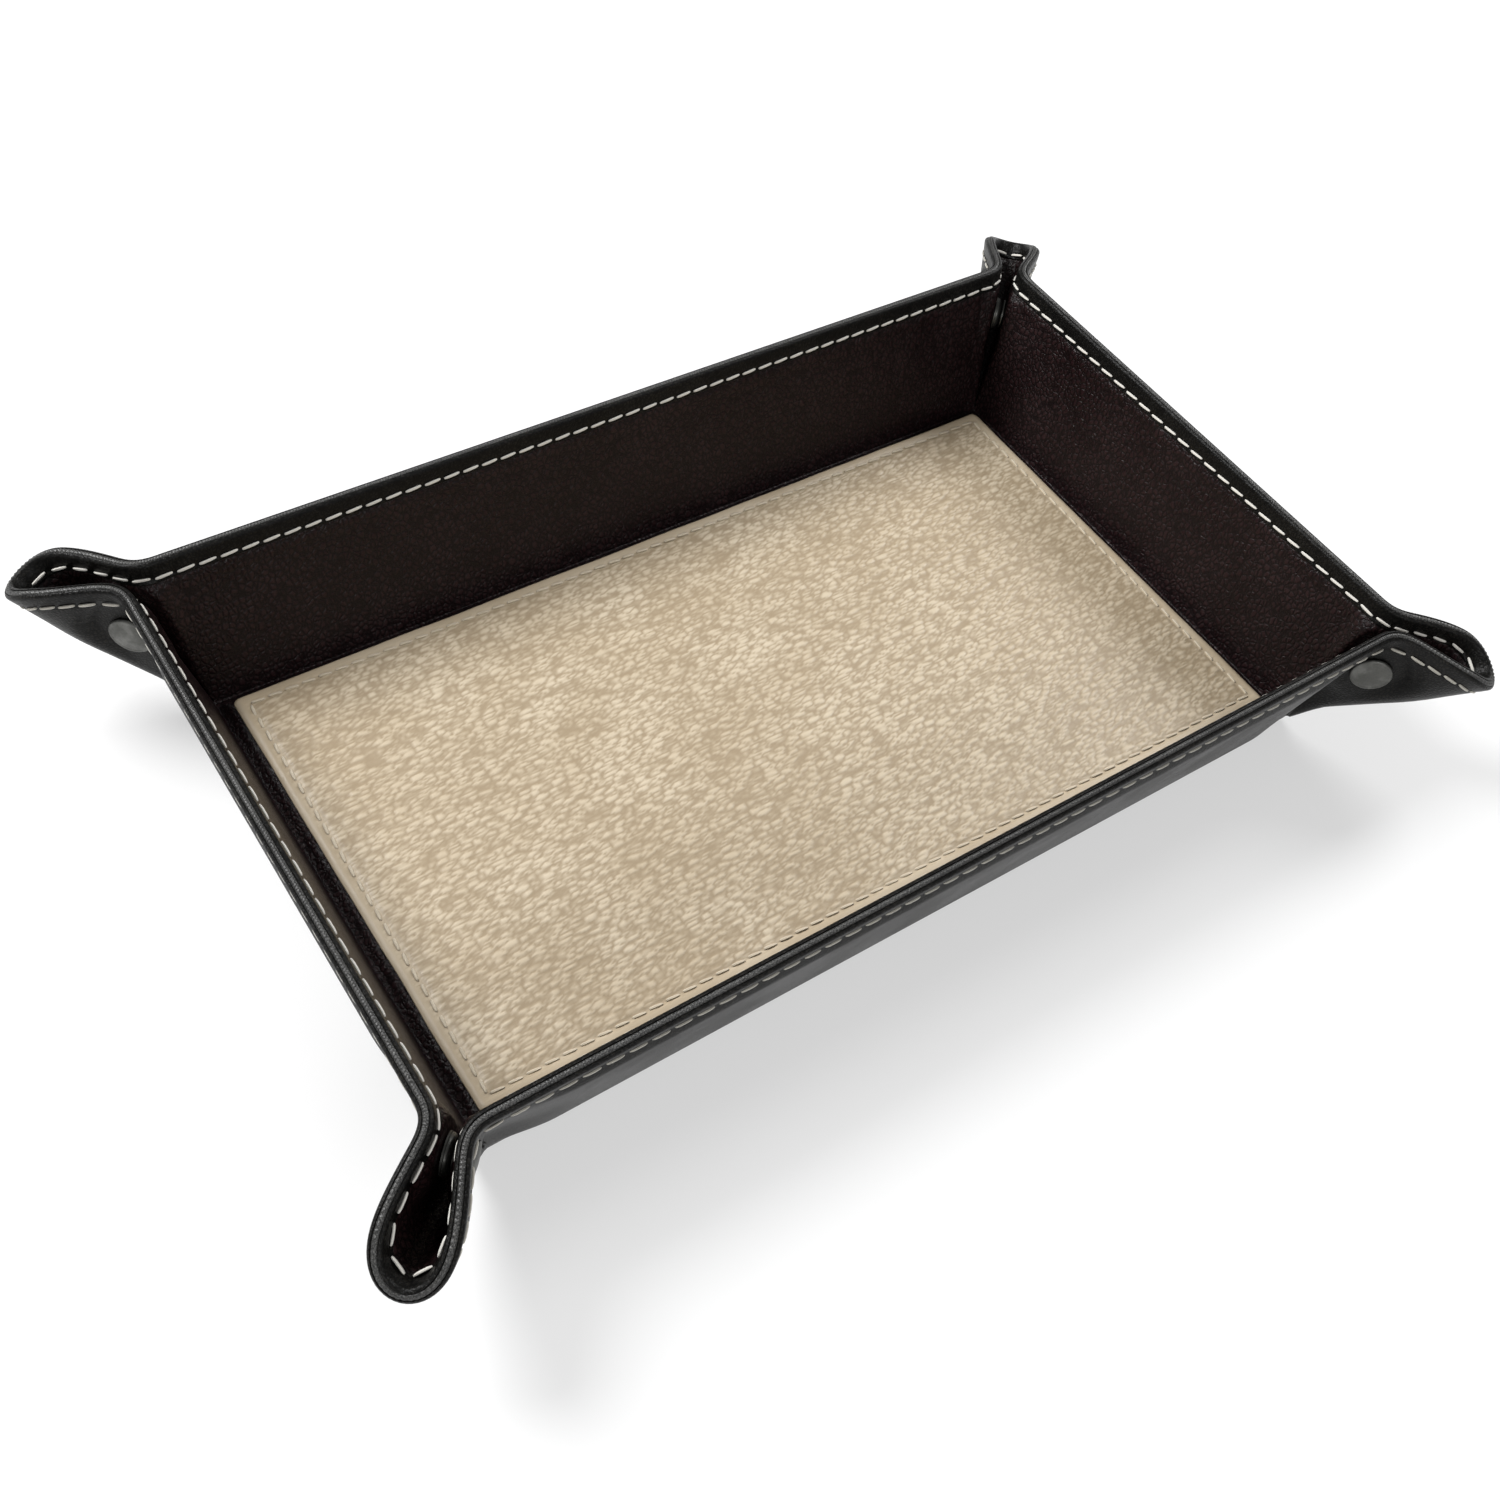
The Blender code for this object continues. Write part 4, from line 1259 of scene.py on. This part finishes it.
@dataclass
class Sewing:
    """Running stitches below the rim on both faces, and round the base panel."""

    finishes: Finishes
    pitch: float = 5.0 * MM
    dash: float = 4.1 * MM
    half_width: float = 0.37 * MM
    sides: int = 8
    rings: int = 7
    slant: float = 0.16 * MM
    sunk: float = 0.02 * MM
    thread_flat: float = 0.8
    arch: float = 0.35
    end_power: float = 0.6
    girth_power: float = 0.55
    panel_pitch: float = 4.2 * MM
    panel_dash: float = 3.3 * MM
    panel_sunk: float = 0.16 * MM

    def build(self) -> None:
        """Sews each stretch, and then the panel."""
        for place in stretches():
            for skin in Skin:
                self.sew_stretch(place, skin)
        self.sew_panel()
        LOG.info("sewing")

    def capsule(self) -> tuple[np.ndarray, list, np.ndarray]:
        """A thread's dash of unit length and radius: its points, faces and UV places.

        Returns:
            Points, faces as tuples of indices, and one UV place for each corner of a face.
        """
        bpy.ops.object.select_all(action="DESELECT")
        bpy.ops.mesh.primitive_uv_sphere_add(segments=self.sides, ring_count=self.rings, radius=1)
        obj = bpy.context.object
        points = np.array([vertex.co for vertex in obj.data.vertices])
        faces = [tuple(face.vertices) for face in obj.data.polygons]
        uv = np.array([entry.uv for entry in obj.data.uv_layers.active.data])
        bpy.data.objects.remove(obj)
        lengths = np.sign(points[:, 2]) * np.abs(points[:, 2]) ** self.end_power
        girth = np.linalg.norm(points[:, :2], axis=1, keepdims=True)
        full = np.where(girth > 0, girth**self.girth_power / np.maximum(girth, 1e-9), 0)
        return np.column_stack((points[:, :2] * full, lengths)), faces, uv

    def sew(
        self, name: str, starts: np.ndarray, stops: np.ndarray, normals: np.ndarray
    ) -> bpy.types.Object:
        """One mesh of dashes between pairs of points.

        Args:
            name: The object's name.
            starts: Where each dash comes up.
            stops: Where each goes down.
            normals: The way out of the leather at each.

        Returns:
            The object.
        """
        shape, faces, uv = self.capsule()
        points, polygons = [], []
        for start, stop, normal in zip(starts, stops, normals):
            along = (stop - start) / 2
            wide = np.cross(normal, along)
            wide *= self.half_width / np.linalg.norm(wide)
            up = normal * self.half_width * self.thread_flat
            arch = up * (1 - shape[:, 2:] ** 2) * self.arch
            base = len(polygons) // len(faces) * len(shape)
            dash = (start + stop) / 2 + shape[:, :1] * wide + shape[:, 1:2] * up + arch
            points.append(dash + shape[:, 2:] * along)
            polygons += [tuple(base + index for index in face) for face in faces]
        mesh = bpy.data.meshes.new(name)
        mesh.from_pydata(np.concatenate(points).tolist(), [], polygons)
        layer = mesh.uv_layers.new(name="UVMap")
        layer.data.foreach_set("uv", np.tile(uv, (len(starts), 1)).ravel())
        obj = bpy.data.objects.new(name, mesh)
        bpy.context.scene.collection.objects.link(obj)
        bpy.ops.object.select_all(action="DESELECT")
        obj.select_set(True)
        bpy.context.view_layer.objects.active = obj
        bpy.ops.object.mode_set(mode="EDIT")
        bpy.ops.mesh.select_all(action="SELECT")
        bpy.ops.mesh.normals_make_consistent(inside=False)
        bpy.ops.object.mode_set(mode="OBJECT")
        bpy.ops.object.shade_smooth()
        return obj

    def sew_stretch(self, place: RimPlace, skin: Skin) -> None:
        """The dashes of one stretch on one face.

        Args:
            place: The stretch.
            skin: Which face is sewn.
        """
        share = 1.0 if skin is Skin.COVER else 0.0
        sink = self.sunk if skin is Skin.COVER else -self.sunk - SIZES.band_proud
        low, high = place.span
        height = SIZES.wall_height - SIZES.stitch_drop

        def line(at: np.ndarray, rise: float = 0.0, deep: float = 0.0) -> np.ndarray:
            """Points of the seam, raised or set out by a little."""
            level = np.full_like(at, height + rise)
            return place.points(at, level, np.full_like(at, share), np.full_like(at, sink + deep))

        fine = np.linspace(low, high, 400)
        steps = np.linalg.norm(np.diff(line(fine), axis=0), axis=1)
        metres = np.concatenate(([0.0], np.cumsum(steps)))
        count = max(1, int(round(metres[-1] / self.pitch)))
        middles = (np.arange(count) + 0.5) * metres[-1] / count
        from_at = np.interp(middles - self.dash / 2, metres, fine)
        to_at = np.interp(middles + self.dash / 2, metres, fine)
        middle_at = np.interp(middles, metres, fine)
        starts, stops = line(from_at, self.slant), line(to_at, -self.slant)
        outward = line(middle_at, 0.0, 1 * MM) - line(middle_at)
        way = 1 if skin is Skin.COVER else -1
        outward *= way / np.linalg.norm(outward, axis=1, keepdims=True)
        obj = self.sew(f"{place.body}_{skin.value}_stitches", starts, stops, outward)
        thread = self.finishes.grey_thread if skin is Skin.COVER else self.finishes.white_thread
        self.finishes.dress(obj, thread, "panel_taupe")
        place.attach(obj)

    def sew_panel(self) -> None:
        """The dashes round the base panel."""
        starts, stops = [], []
        top = BasePanel.top()
        half_x, half_y = BasePanel.stitch_half()
        corners = [(-half_x, -half_y), (half_x, -half_y), (half_x, half_y), (-half_x, half_y)]
        level, dash = top - self.panel_sunk, self.panel_dash
        for index, corner in enumerate(corners):
            after = np.array(corners[(index + 1) % 4])
            corner = np.array(corner)
            length = np.linalg.norm(after - corner)
            way = (after - corner) / length
            aside = np.array([-way[1], way[0]]) * self.slant
            count = int(round(length / self.panel_pitch))
            for middle in (np.arange(count) + 0.5) * length / count:
                starts.append([*(corner + way * (middle - dash / 2) + aside), level])
                stops.append([*(corner + way * (middle + dash / 2) - aside), level])
        normals = np.tile([0.0, 0.0, 1.0], (len(starts), 1))
        obj = self.sew("base_panel_stitches", np.array(starts), np.array(stops), normals)
        self.finishes.dress(obj, self.finishes.cream_thread, "panel_taupe")
        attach(obj, "base")


@dataclass
class BasePanel:
    """The pale leather panel that is sewn on the bottom of the tray."""

    finishes: Finishes
    step_x: float = 0.80 * MM
    step_y: float = 0.38 * MM
    pebble_x: float = 2.9 * MM
    pebble_y: float = 1.2 * MM
    pebble_high: float = 0.15 * MM
    plain_tone: float = 0.6
    plain_margin: float = 1.9 * MM
    plain_fade: float = 0.8 * MM
    valley_width: float = 0.42
    seam_overrun: float = 1 * MM
    seam_half: float = 0.7 * MM
    seam_deep: float = 0.30 * MM
    seam_plain: float = 0.8
    swell_fade: float = 2.5 * MM
    edge_round: float = 0.9 * MM
    edge_drop: float = 0.55 * MM
    corner_radius: float = 1.6 * MM
    thick: float = 0.6 * MM

    @staticmethod
    def top() -> float:
        """Height of the panel's top."""
        return SIZES.sheet + SIZES.layer_gap + SIZES.panel_thick

    @staticmethod
    def half() -> tuple[float, float]:
        """Half the panel's length and width."""
        margin = SIZES.panel_margin
        return SIZES.crease_length / 2 - margin, SIZES.crease_width / 2 - margin

    @staticmethod
    def stitch_half() -> tuple[float, float]:
        """Half the length and width of the line of stitches."""
        half_x, half_y = BasePanel.half()
        inset = 3.0 * MM
        return half_x - inset, half_y - inset

    def pebbles(self, flat: np.ndarray, from_edge: np.ndarray) -> np.ndarray:
        """How high the grain stands at each point, from 0 in its valleys to 1.

        Args:
            flat: Points of the flat panel.
            from_edge: Their distances from its edge.

        Returns:
            One value for each point.
        """
        drift_x = undulate(flat, 5 * MM, 0.22, 21.0)
        drift_y = undulate(flat, 5 * MM, 0.35, 31.0)
        across = np.stack((flat[..., 0] / self.pebble_x, flat[..., 1] / self.pebble_y), axis=-1)
        places = across + np.stack((drift_x, drift_y), axis=-1)
        gaps = []
        for x, y in places.reshape(-1, 2):
            near = noise.voronoi(Vector((x, y, 0.0)))[0]
            gaps.append(near[1] - near[0])
        return ease(np.array(gaps).reshape(from_edge.shape) / self.valley_width)

    def build(self) -> None:
        """Makes the panel with its rounded edge, furrow, pebbles and soft swell."""
        half_x, half_y = self.half()
        lines_x = np.linspace(-half_x, half_x, int(2 * half_x / self.step_x) + 1)
        lines_y = np.linspace(-half_y, half_y, int(2 * half_y / self.step_y) + 1)
        x, y = np.meshgrid(lines_x, lines_y, indexing="ij")
        from_edge = np.minimum(half_x - np.abs(x), half_y - np.abs(y))
        stitch_x, stitch_y = self.stitch_half()
        over = self.seam_overrun
        inside = (np.abs(x) <= stitch_x + over) & (np.abs(y) <= stitch_y + over)
        nearest = np.minimum(np.abs(stitch_x - np.abs(x)), np.abs(stitch_y - np.abs(y)))
        to_line = np.where(inside, nearest, 1)
        sewn = np.exp(-((to_line / self.seam_half) ** 2))
        flat = np.stack((x, y, np.zeros_like(x)), axis=-1)
        plain = 1 - self.seam_plain * sewn
        plain *= ease((from_edge - self.plain_margin) / self.plain_fade)
        grain = self.pebbles(flat, from_edge)
        tone = mix(self.plain_tone, grain, plain)
        grain = grain * plain
        swell = undulate(flat, 34 * MM, 0.18 * MM, 11.0) + undulate(flat, 9 * MM, 0.07 * MM, 3.0)
        swell = swell * ease(from_edge / self.swell_fade) + self.pebble_high * grain
        outer = 1 - np.clip(from_edge / self.edge_round, 0, 1)
        rounding = self.edge_drop * (1 - np.sqrt(1 - outer**2))
        z = self.top() - self.seam_deep * sewn + swell - rounding
        wander = undulate(flat, 16 * MM, 0.22 * MM, 5.0) * (from_edge < 1 * MM)
        points = np.stack((x + wander * np.sign(x), y + wander * np.sign(y), z), axis=-1)
        points = self.round_corner(points, half_x, half_y, self.corner_radius)
        obj = skin_grid("base_panel_leather", points, self.thick, False, kept=tone)
        self.finishes.dress(obj, self.finishes.taupe, "panel_taupe")
        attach(obj, "base")
        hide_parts("base_panel")
        LOG.info("base panel")

    @staticmethod
    def round_corner(points: np.ndarray, half_x: float, half_y: float, radius: float) -> np.ndarray:
        """Pulls the panel's corners in to a radius.

        Args:
            points: Points of the panel by column and row.
            half_x: Half the panel's length.
            half_y: Half its width.
            radius: The radius.

        Returns:
            The moved points.
        """
        moved = points.copy()
        over_x = np.maximum(np.abs(points[..., 0]) - (half_x - radius), 0)
        over_y = np.maximum(np.abs(points[..., 1]) - (half_y - radius), 0)
        far = np.hypot(over_x, over_y)
        most = np.maximum(over_x, over_y)
        share = np.where(far > 0, most / np.maximum(far, 1e-9), 1.0)
        moved[..., 0] = np.sign(points[..., 0]) * (np.abs(points[..., 0]) - over_x * (1 - share))
        moved[..., 1] = np.sign(points[..., 1]) * (np.abs(points[..., 1]) - over_y * (1 - share))
        return moved


@dataclass
class BaseSkins:
    """The cover under the base and the lining over its board."""

    finishes: Finishes
    step: float = 2.0 * MM
    thick: float = 0.55 * MM
    dip_fade: float = 8 * MM
    knuckle_inset: float = 0.03 * MM
    knuckle_cut: tuple[float, float] = (0.35, 0.87)

    def build(self) -> None:
        """Makes both skins, out to where the creases begin."""
        half_x = SIZES.crease_length / 2 - SIZES.bend_foot
        half_y = SIZES.crease_width / 2 - SIZES.bend_foot
        near = np.array([0.0, 0.3, 0.6, 0.9, 1.2, 1.5, 1.8, 2.1, 2.4, 2.8, 3.4]) * MM
        x, y = np.meshgrid(self.lines(half_x, near), self.lines(half_y, near), indexing="ij")
        from_edge = np.minimum(half_x - np.abs(x), half_y - np.abs(y))
        lift = (SIZES.board + SIZES.layer_gap) * ease(from_edge / SIZES.layer_slope)
        flat = np.stack((x, y, np.zeros_like(x)), axis=-1)
        dip = undulate(flat, 21 * MM, 0.12 * MM, 7.0) * ease(from_edge / self.dip_fade)
        for skin, height in (
            (Skin.COVER, np.abs(dip) * 0.5),
            (Skin.LINING, SIZES.crease_z + lift),
        ):
            points = np.stack((x, y, height), axis=-1)
            obj = skin_grid(f"base_{skin.value}_leather", points, self.thick, skin is Skin.COVER)
            self.finishes.skin(obj, skin)
            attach(obj, "base")
            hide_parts(f"base_{skin.value}")
        for corner_x in (-1, 1):
            for corner_y in (-1, 1):
                self.knuckle(corner_x, corner_y, half_x, half_y)
        LOG.info("base skins")

    def lines(self, half: float, near: np.ndarray) -> np.ndarray:
        """Places across the base, closer together near the creases.

        Args:
            half: Half the length that the places cover.
            near: Distances from the crease of the closer ones.

        Returns:
            The places, from one crease to the other.
        """
        edge = half - near[::-1]
        inner = edge[0]
        middle = np.linspace(-inner, inner, int(2 * inner / self.step) + 1)
        return np.concatenate((-edge[::-1], middle[1:-1], edge))

    def knuckle(self, sign_x: int, sign_y: int, half_x: float, half_y: float) -> None:
        """The small round of leather at the foot of an ear, where two creases meet.

        Args:
            sign_x: -1 at the left, 1 at the right.
            sign_y: -1 at the front, 1 at the back.
            half_x: Half the base skins' length.
            half_y: Half their width.
        """
        bpy.ops.object.select_all(action="DESELECT")
        bpy.ops.mesh.primitive_uv_sphere_add(
            segments=32,
            ring_count=20,
            radius=SIZES.crease_outer - self.knuckle_inset,
            location=(sign_x * half_x, sign_y * half_y, SIZES.crease_outer),
        )
        obj = bpy.context.object
        across = "left" if sign_x < 0 else "right"
        aside, up = self.knuckle_cut
        obj.name = obj.data.name = f"base_{'front' if sign_y < 0 else 'back'}_{across}_knuckle"
        bpy.ops.object.mode_set(mode="EDIT")
        bpy.ops.mesh.select_all(action="SELECT")
        bpy.ops.mesh.bisect(
            plane_co=(sign_x * half_x, sign_y * half_y, SIZES.crease_z),
            plane_no=(-aside * sign_x, -aside * sign_y, up),
            clear_outer=True,
            use_fill=True,
        )
        bpy.ops.object.mode_set(mode="OBJECT")
        bpy.ops.object.transform_apply(location=True, rotation=True, scale=True)
        bpy.ops.object.shade_smooth_by_angle(angle=40 * DEGREE)
        self.finishes.skin(obj, Skin.COVER)
        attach(obj, "base")


@dataclass(frozen=True)
class Lathe:
    """A turned piece: its profile as radius and height along the axis, in millimetres."""

    name: str
    profile: tuple[tuple[float, float], ...]


@dataclass
class Snaps:
    """The press snaps: a cap and a socket on one half of an ear, a stud on the other."""

    finishes: Finishes
    segments: int = 40

    def build(self) -> None:
        """Turns the three pieces of each snap."""
        skin = SIZES.seat_half_gap + SIZES.ear_taper * SIZES.snap_reach
        for corner, sides in SNAP_SIDES.items():
            for lathe, which in ((self.cap(skin), 0), (self.socket(), 0), (self.stud(skin), 1)):
                wall, end_name = sides[which]
                self.turn(f"{corner}_snap_{lathe.name}", lathe, SIDES[wall], end_name)
        LOG.info("snaps")

    @staticmethod
    def cap(skin: float) -> Lathe:
        """The low domed cap with a rolled rim.

        Args:
            skin: Distance from the corner's diagonal to the leather's outside.

        Returns:
            The profile.
        """
        under = skin / MM + 0.05
        dome = ((4.35, 0.0), (4.85, 0.1), (5.02, 0.38), (4.95, 0.72), (4.7, 0.93), (4.35, 0.98))
        crown = ((4.15, 0.93), (3.9, 0.99), (3.2, 1.16), (2.2, 1.31), (1.1, 1.39), (0.0, 1.42))
        stem = ((0.0, 1.1), (0.95, 1.1), (1.0, under))
        return Lathe("cap", stem + tuple((r, under + h) for r, h in dome + crown))

    @staticmethod
    def socket() -> Lathe:
        """The ring that holds the knob, with its rolled mouth.

        Returns:
            The profile.
        """
        ring = ((1.3, 0.8), (2.1, 0.8), (2.05, 0.2), (2.0, -0.1), (2.2, -0.38), (2.6, -0.42))
        body = ((3.2, -0.3), (3.75, 0.0), (4.0, 0.4), (4.0, 0.75), (4.2, 0.85), (4.2, 1.2))
        return Lathe("socket", ring + body + ((1.3, 1.3), (1.3, 0.8)))

    @staticmethod
    def stud(skin: float) -> Lathe:
        """The knob, its flange, and the rivet's low head outside.

        Args:
            skin: Distance from the corner's diagonal to the leather's outside.

        Returns:
            The profile.
        """
        out = skin / MM + 0.05
        knob = ((0.0, -0.5), (0.9, -0.5), (1.5, -0.35), (1.8, 0.05), (1.7, 0.35), (1.45, 0.7))
        flange = ((3.7, 0.72), (3.9, 0.85), (3.9, 1.2), (3.7, 1.3), (1.0, 1.3), (1.0, out))
        head = ((3.5, out), (3.72, out + 0.2), (3.6, out + 0.5), (2.6, out + 0.78))
        return Lathe("stud", knob + flange + head + ((0.0, out + 0.9),))

    def turn(self, name: str, lathe: Lathe, side: Side, end_name: str) -> None:
        """Spins a profile about the snap's axis and seats it on its half ear.

        Args:
            name: The solid's name.
            lathe: The profile.
            side: The wall that carries the piece.
            end_name: Which of the wall's ends.
        """
        end = side.ends.index(end_name)
        mesh = bpy.data.meshes.new(name)
        points = [(r * MM, 0.0, h * MM) for r, h in lathe.profile]
        mesh.from_pydata(points, [(i, i + 1) for i in range(len(points) - 1)], [])
        obj = bpy.data.objects.new(name + "_metal", mesh)
        bpy.context.scene.collection.objects.link(obj)
        bpy.ops.object.select_all(action="DESELECT")
        obj.select_set(True)
        bpy.context.view_layer.objects.active = obj
        bpy.ops.object.mode_set(mode="EDIT")
        bpy.ops.mesh.select_all(action="SELECT")
        bpy.ops.mesh.spin(steps=self.segments, angle=2 * math.pi, center=(0, 0, 0), axis=(0, 0, 1))
        bpy.ops.mesh.select_all(action="SELECT")
        bpy.ops.mesh.remove_doubles(threshold=1e-6)
        bpy.ops.mesh.normals_make_consistent(inside=False)
        bpy.ops.object.mode_set(mode="OBJECT")
        axis = Vector(side.turned(ACROSS, end))
        centre = Vector(side.place(EAR.snap_centre, end))
        place = Matrix.Translation(centre) @ axis.to_track_quat("Z", "Y").to_matrix().to_4x4()
        obj.data.transform(place)
        bpy.ops.object.shade_smooth_by_angle(angle=40 * DEGREE)
        self.finishes.dress(obj, self.finishes.gunmetal, "gunmetal")
        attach(obj, f"{side.name}_wall_{end_name}_neck")
        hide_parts(name)


@dataclass
class Boards:
    """The stiffeners between the skins, which keep their solids."""

    finishes: Finishes

    def build(self) -> None:
        """Gives the boards their pulp."""
        names = ["base_board"] + [f"{side}_wall_board" for side in SIDES]
        for name in names:
            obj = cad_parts[name]
            obj.data.materials.clear()
            obj.data.materials.append(self.finishes.board)


@dataclass(frozen=True)
class Lamp:
    """An area lamp that looks at the tray."""

    name: str
    place: tuple[float, float, float]
    size: float
    power: float
    colour: Colour = (1.0, 1.0, 1.0)

    def build(self) -> None:
        """Adds the lamp."""
        data = bpy.data.lights.new(self.name, "AREA")
        data.shape = "DISK"
        data.size = self.size
        data.energy = self.power
        data.color = self.colour
        obj = bpy.data.objects.new(self.name, data)
        bpy.context.scene.collection.objects.link(obj)
        obj.location = self.place
        obj.rotation_euler = (-Vector(self.place)).to_track_quat("-Z", "Y").to_euler()


@dataclass
class Studio:
    """The floor, the light and the camera."""

    floor_colour: Colour = (0.88, 0.88, 0.88)
    world_strength: float = 0.30
    lens: float = 40.2759
    sensor: float = 36.0
    camera_place: tuple[float, float, float] = (-0.179262, -0.190304, 0.317076)
    camera_turn: tuple[float, float, float] = (37.61082, -6.78050, -33.90122)
    lamps: tuple[Lamp, ...] = (
        Lamp("window_lamp", (-0.55, 0.75, 1.0), 0.6, 20.0),
        Lamp("side_lamp", (0.9, 0.15, 0.75), 0.4, 6.0),
        Lamp("front_lamp", (-0.35, -0.9, 0.6), 0.4, 3.5),
    )

    def build(self) -> None:
        """Sets up everything that isn't the tray."""
        scene = bpy.context.scene
        scene.view_settings.view_transform = "Standard"
        self.floor()
        self.world(scene)
        for lamp in self.lamps:
            lamp.build()
        self.camera(scene)

    def floor(self) -> None:
        """A wide pale floor that the camera sees as white."""
        bpy.ops.object.select_all(action="DESELECT")
        bpy.ops.mesh.primitive_grid_add(x_subdivisions=8, y_subdivisions=8, size=6)
        obj = bpy.context.object
        obj.name = "studio_floor"
        shader = Shader("studio_floor_paint")
        cloud = shader.noise(shader.stretched((1.0, 1.0, 1.0)), 3.0, 2.0)
        tone = shader.blend(cloud, self.floor_colour, tuple(c * 1.01 for c in self.floor_colour))
        shader.finish(Base_Color=tone, Roughness=0.9, Specular_IOR_Level=0.1)
        glow = shader.node("ShaderNodeEmission", {"Color": (1.0, 1.0, 1.0, 1.0), "Strength": 1.0})
        seen = shader.node("ShaderNodeLightPath", {})
        share = shader.sum(seen.outputs["Is Camera Ray"], seen.outputs["Is Glossy Ray"], "MAXIMUM")
        part = shader.sum(share, 0.5, "MULTIPLY")
        both = shader.node(
            "ShaderNodeMixShader",
            {0: part, 1: shader.principled.outputs[0], 2: glow.outputs[0]},
        )
        output = shader.tree.nodes["Material Output"]
        shader.tree.links.new(both.outputs[0], output.inputs["Surface"])
        obj.data.materials.append(shader.material)

    def world(self, scene: bpy.types.Scene) -> None:
        """An even white surround.

        Args:
            scene: The scene.
        """
        world = bpy.data.worlds.new("studio_world")
        scene.world = world
        world.use_nodes = True
        backdrop = world.node_tree.nodes["Background"]
        backdrop.inputs["Color"].default_value = (1.0, 1.0, 1.0, 1.0)
        backdrop.inputs["Strength"].default_value = self.world_strength

    def camera(self, scene: bpy.types.Scene) -> None:
        """The camera, fitted to the tray's outline in the photograph, with all of it in frame.

        Args:
            scene: The scene.
        """
        data = bpy.data.cameras.new("photo_camera")
        data.sensor_width = self.sensor
        data.lens = self.lens
        data.clip_start = 0.01
        obj = bpy.data.objects.new("photo_camera", data)
        scene.collection.objects.link(obj)
        obj.location = self.camera_place
        obj.rotation_euler = tuple(turn * DEGREE for turn in self.camera_turn)
        scene.camera = obj


def main() -> None:
    """Builds the tray's pieces in order, and then the studio."""
    logging.basicConfig(level=logging.INFO)
    finishes = Finishes()
    for part in (
        BaseSkins(finishes),
        BasePanel(finishes),
        LeatherSkins(finishes),
        RibbedEdge(finishes),
        Sewing(finishes),
        Snaps(finishes),
        Boards(finishes),
        Studio(),
    ):
        part.build()


if __name__ == "__main__":
    main()
